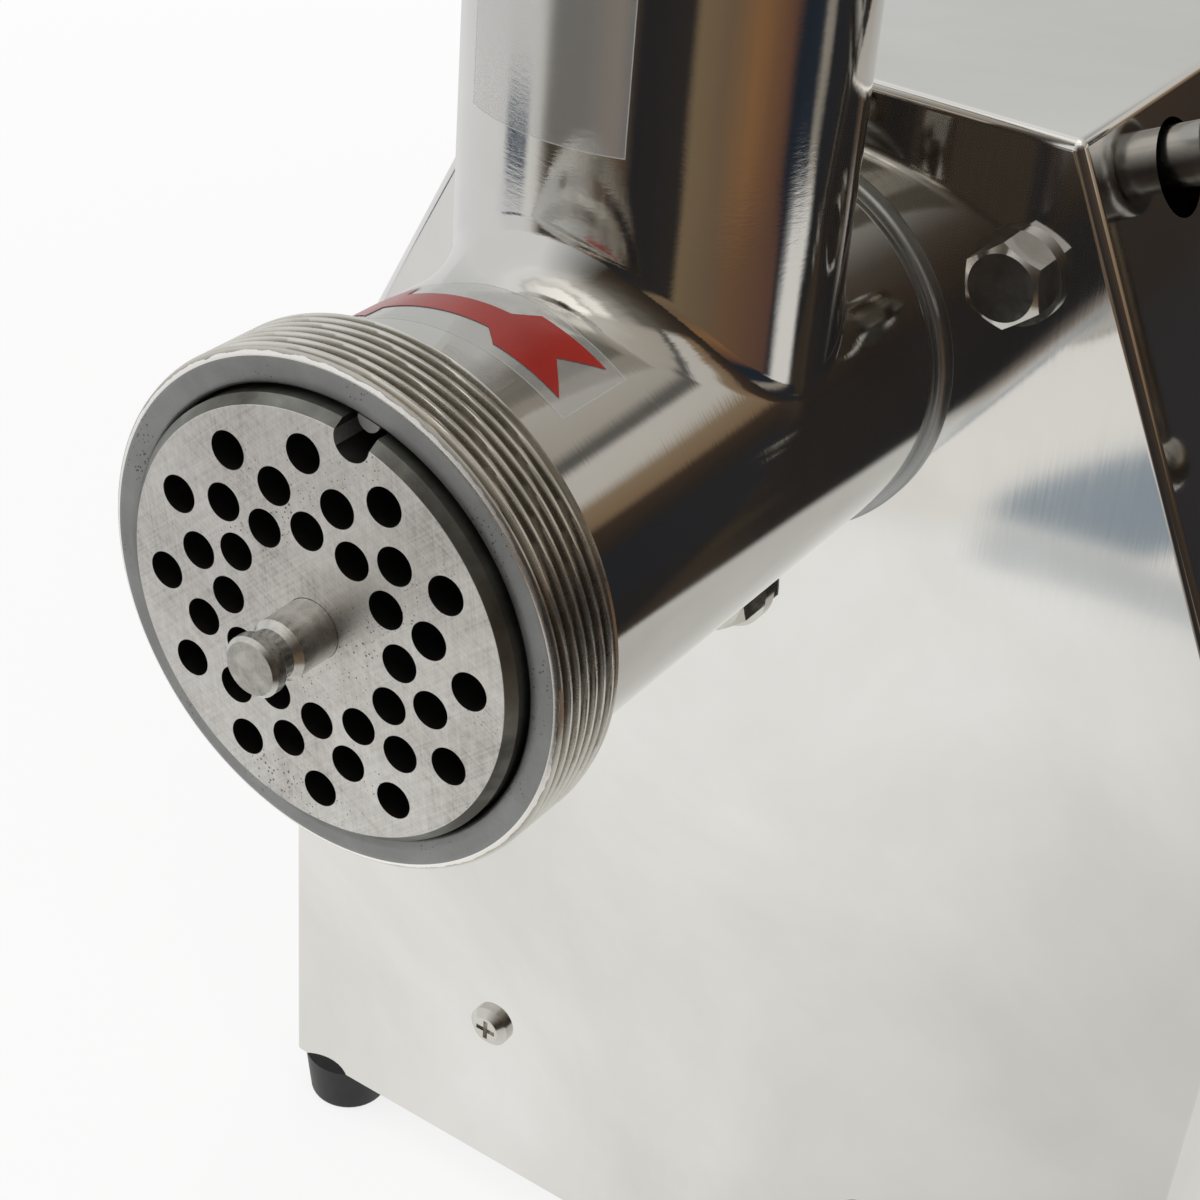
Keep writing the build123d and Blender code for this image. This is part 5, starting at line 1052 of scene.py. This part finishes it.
# %% [markdown]
# Faces are given one of four finishes by their place: polished round the barrel, turned thread, the duller
# machined face and bore, and polished round the throat.

# %% Finishes of the casting
HEAD_FINISHES = ["polished_stainless", "thread_steel", "face_steel", "polished_throat"]
BORE_TOP = 28.0


def head_finish(face):
    """Which of the four finishes a face of the casting has."""
    across = math.hypot(face.center.x, face.center.z - AXIS_Z * MM) / MM
    y = face.center.y / MM
    seat = y < INNER_FRONT + 1.0 and across < SEAT_RADIUS + 0.5
    bore = across < BORE_RADIUS + 0.1 and face.center.z < (AXIS_Z + BORE_TOP) * MM
    if y < THREAD_END_Y + 0.2 and across > THREAD_RADIUS - 1.5:
        return "thread_steel"
    if seat or bore or y < NOSE_Y + 0.1:
        return "face_steel"
    if across > barrel_radius(y) + 0.4:
        return "polished_throat"
    return "polished_stainless"


for finish_name in HEAD_FINISHES:
    head.data.materials.append(finishes[finish_name])
for face in head.data.polygons:
    face.material_index = HEAD_FINISHES.index(head_finish(face))
print("thread faces:", sum(face.material_index == 1 for face in head.data.polygons))

# %% [markdown]
# A mirror shows the smallest error in a normal. Where a corner lies on the barrel or on the throat, its
# normal is known exactly, so it is set from the surface instead of from the faces round it.

# %% Exact normals
ON_SURFACE = 0.002
corner_normals = [corner.vector.copy() for corner in head.data.corner_normals]
exact = 0
for loop in head.data.loops:
    spot = head.data.vertices[loop.vertex_index].co / MM
    rise = spot.z - AXIS_Z
    out_from_throat = Vector((spot.x, spot.y - THROAT_Y, 0.0))
    along_barrel = THREAD_END_Y + 2.0 < spot.y < HEAD_REAR_Y - 1.0
    off_barrel = abs(math.hypot(spot.x, rise) - barrel_radius(spot.y))
    if along_barrel and off_barrel < ON_SURFACE:
        corner_normals[loop.index] = Vector((spot.x, 0.0, rise)).normalized()
        exact += 1
    elif rise < RIM_UNDER - 1.0 and abs(out_from_throat.length - THROAT_RADIUS) < ON_SURFACE:
        corner_normals[loop.index] = out_from_throat.normalized()
        exact += 1
head.data.normals_split_custom_set(corner_normals)
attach(head, "frame")
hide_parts("grinder_head")
print("corners with exact normals:", exact)

# %% [markdown]
# ## Gasket
# Between head and housing sits a ring with a rounded lip that stands a little proud of the barrel. One
# closed grid of rings makes it: flat at the front, rounded over the lip, flat at the back and down the
# inside.

# %% Gasket
PANEL_Y, GASKET_INSIDE, GASKET_RADIUS, LIP_ROUND = -63.3, 26.2, 37.3, 1.2


def lip_ring(angle):
    """A ring of the rounded lip, at an angle from its front."""
    radius = GASKET_RADIUS - LIP_ROUND * (1.0 - math.sin(angle))
    return ring(radius, HEAD_REAR_Y + LIP_ROUND * (1.0 - math.cos(angle)))


lip = [lip_ring(angle) for angle in span(0.0, math.pi / 2, 8)]
back = [ring(GASKET_RADIUS, PANEL_Y), ring(GASKET_INSIDE, PANEL_Y), ring(GASKET_INSIDE, HEAD_REAR_Y)]
gasket = laid_grid("gasket_ring", [ring(GASKET_INSIDE, HEAD_REAR_Y)] + lip + back)
close_up(gasket)
gasket.data.materials.append(finishes["gasket_grey"])
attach(gasket, "frame")
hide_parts("head_gasket")
print("gasket faces:", len(gasket.data.polygons))

# %% [markdown]
# ## Clear film and arrow
# A strip of clear film wraps the top of the barrel, and a second one sits on the throat. A red arrow that
# shows which way the auger turns is printed on the first. All are laid as grids, drawn onto the casting
# with a Shrinkwrap modifier and given their thickness with Solidify, so they follow the seam wherever they
# reach it.

# %% Film and print finishes
PRINT_PATTERN = (300.0, 1.0, 40.0)


def see_through(name, colour, alpha, rough):
    """A clear plastic whose haze is set by its alpha."""
    paler = tuple(min(1.0, value * 1.06) for value in colour)
    material = finish(name, colour, paler, 0.0, rough, rough + 0.08, 0.015, *PRINT_PATTERN)
    material.node_tree.nodes["Principled BSDF"].inputs["Alpha"].default_value = alpha
    return material


clear_film = see_through("clear_film", (0.62, 0.63, 0.62), 0.10, 0.06)
# The border film is paler and less clear: partly the film's own haze, partly a painted highlight on its cut
# edge.
film_edge = see_through("film_edge", (0.70, 0.71, 0.70), 0.26, 0.12)
RED_LOW, RED_HIGH = (0.28, 0.015, 0.010), (0.34, 0.022, 0.015)
arrow_red = finish("arrow_red", RED_LOW, RED_HIGH, 0.0, 0.16, 0.28, 0.04, *PRINT_PATTERN)
print("film and print finishes ready")

# %% Film strips
FILM_LIFT, FILM_THICK, FILM_BORDER, FILM_SMOOTH_UP_TO = 0.03, 0.05, 0.16, math.radians(40)
STRIP_TURN, STRIP_Y, STRIP_RADIUS, STRIP_DEGREES_PER_MM = (-56.0, 35.5), (-159.0, -143.0), 36.6, 1.6
PATCH_TURN, PATCH_RISE, PATCH_OUT, PATCH_DEGREES_PER_MM = (-121.5, -67.3), (57.9, 86.0), 0.3, 1.8


def wrap_on_head(sheet, lift, thick):
    """Draws a sheet onto the casting at a small lift and gives it its thickness."""
    pick(sheet)
    wrap = sheet.modifiers.new("wrap", "SHRINKWRAP")
    wrap.target = head
    wrap.wrap_mode = "OUTSIDE_SURFACE"
    wrap.offset = lift * MM
    bpy.ops.object.modifier_apply(modifier="wrap")
    wall = sheet.modifiers.new("wall", "SOLIDIFY")
    wall.thickness = thick * MM
    wall.offset = 1.0
    bpy.ops.object.modifier_apply(modifier="wall")
    bpy.ops.object.shade_smooth_by_angle(angle=FILM_SMOOTH_UP_TO)


def film_rows(turns, lengths, per_mm, steps):
    """Rows of (angle, length) across a film with a narrow border; per_mm is the degrees in a millimetre."""
    (first, last), (low, high) = turns, lengths
    edge = FILM_BORDER * per_mm
    across = [first] + span(first + edge, last - edge, 90) + [last]
    up = [low] + span(low + FILM_BORDER, high - FILM_BORDER, steps) + [high]
    return [[(math.radians(angle), length) for angle in across] for length in up]


def dress_film(name, rows):
    """A film from rows of points, paler along its border: its own haze and a painted edge highlight."""
    film = laid_grid(name, rows)
    wrap_on_head(film, FILM_LIFT, FILM_THICK)
    film.data.materials.append(clear_film)
    film.data.materials.append(film_edge)
    wide, tall = len(rows[0]) - 1, len(rows) - 1
    for face in film.data.polygons:
        step = face.index % (wide * tall)
        column, line = step % wide, step // wide
        rim = face.index >= 2 * wide * tall or column in (0, wide - 1) or line in (0, tall - 1)
        face.material_index = 1 if rim else 0
    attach(film, "frame")
    print(name, "faces", len(film.data.polygons))


strip_rows = film_rows(STRIP_TURN, STRIP_Y, STRIP_DEGREES_PER_MM, 28)
dress_film("strip_film", [[on_barrel(angle, y, STRIP_RADIUS) for angle, y in row] for row in strip_rows])
patch_rows = film_rows(PATCH_TURN, PATCH_RISE, PATCH_DEGREES_PER_MM, 40)
dress_film("patch_film", [[throat_point(phi, rise, -PATCH_OUT) for phi, rise in row] for row in patch_rows])

# %% [markdown]
# The arrow is two mirrored halves of one grid each, from its middle line to its edge. Its half width
# changes along the way: a broad tail with a notch, a taper, a plain shaft and a head that comes to a point.

# %% Arrow
ARROW_MIDDLE, ARROW_RADIUS, ARROW_LIFT, ARROW_THICK = -150.8, 36.8, 0.10, 0.02
ARROW_OUTLINE = [(31.0, 5.9), (11.0, 5.9), (6.0, 2.8), (-25.0, 2.8), (-25.6, 6.6), (-46.0, 0.02)]
NOTCH_AT, TAIL_FROM = 22.5, 22.0
tail_end, tip = ARROW_OUTLINE[0][0], ARROW_OUTLINE[-1][0]


def arrow_half_width(angle):
    """Half the arrow's width at an angle round the barrel, in degrees."""
    for (a, wide), (b, narrow) in zip(ARROW_OUTLINE, ARROW_OUTLINE[1:]):
        if b <= angle <= a:
            return wide + (narrow - wide) * (a - angle) / (a - b)
    return ARROW_OUTLINE[-1][1]


def arrow_point(angle, across):
    """A point of the arrow, across being a part of its half width to either side."""
    return on_barrel(math.radians(angle), ARROW_MIDDLE + across * arrow_half_width(angle), ARROW_RADIUS)


corners = {angle for angle, _ in ARROW_OUTLINE[1:-1]}
stations = sorted(corners | set(span(tip, TAIL_FROM, 136)), reverse=True)
halves = []
for side in (1.0, -1.0):
    rows = []
    for part in span(0.0, 1.0, 8):
        tail = NOTCH_AT + (tail_end - NOTCH_AT) * part
        angles = span(tail, TAIL_FROM, 16)[:-1] + stations
        rows.append([arrow_point(angle, side * part) for angle in angles])
    halves.append(laid_grid("arrow_half", rows))
arrow = join_sheets("turn_arrow", halves[0], halves[1:])
merge_borders(arrow)
if sum(face.normal.z * face.area for face in arrow.data.polygons) < 0.0:
    arrow.data.flip_normals()
wrap_on_head(arrow, ARROW_LIFT, ARROW_THICK)
arrow.data.materials.append(arrow_red)
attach(arrow, "frame")
print("arrow faces:", len(arrow.data.polygons))
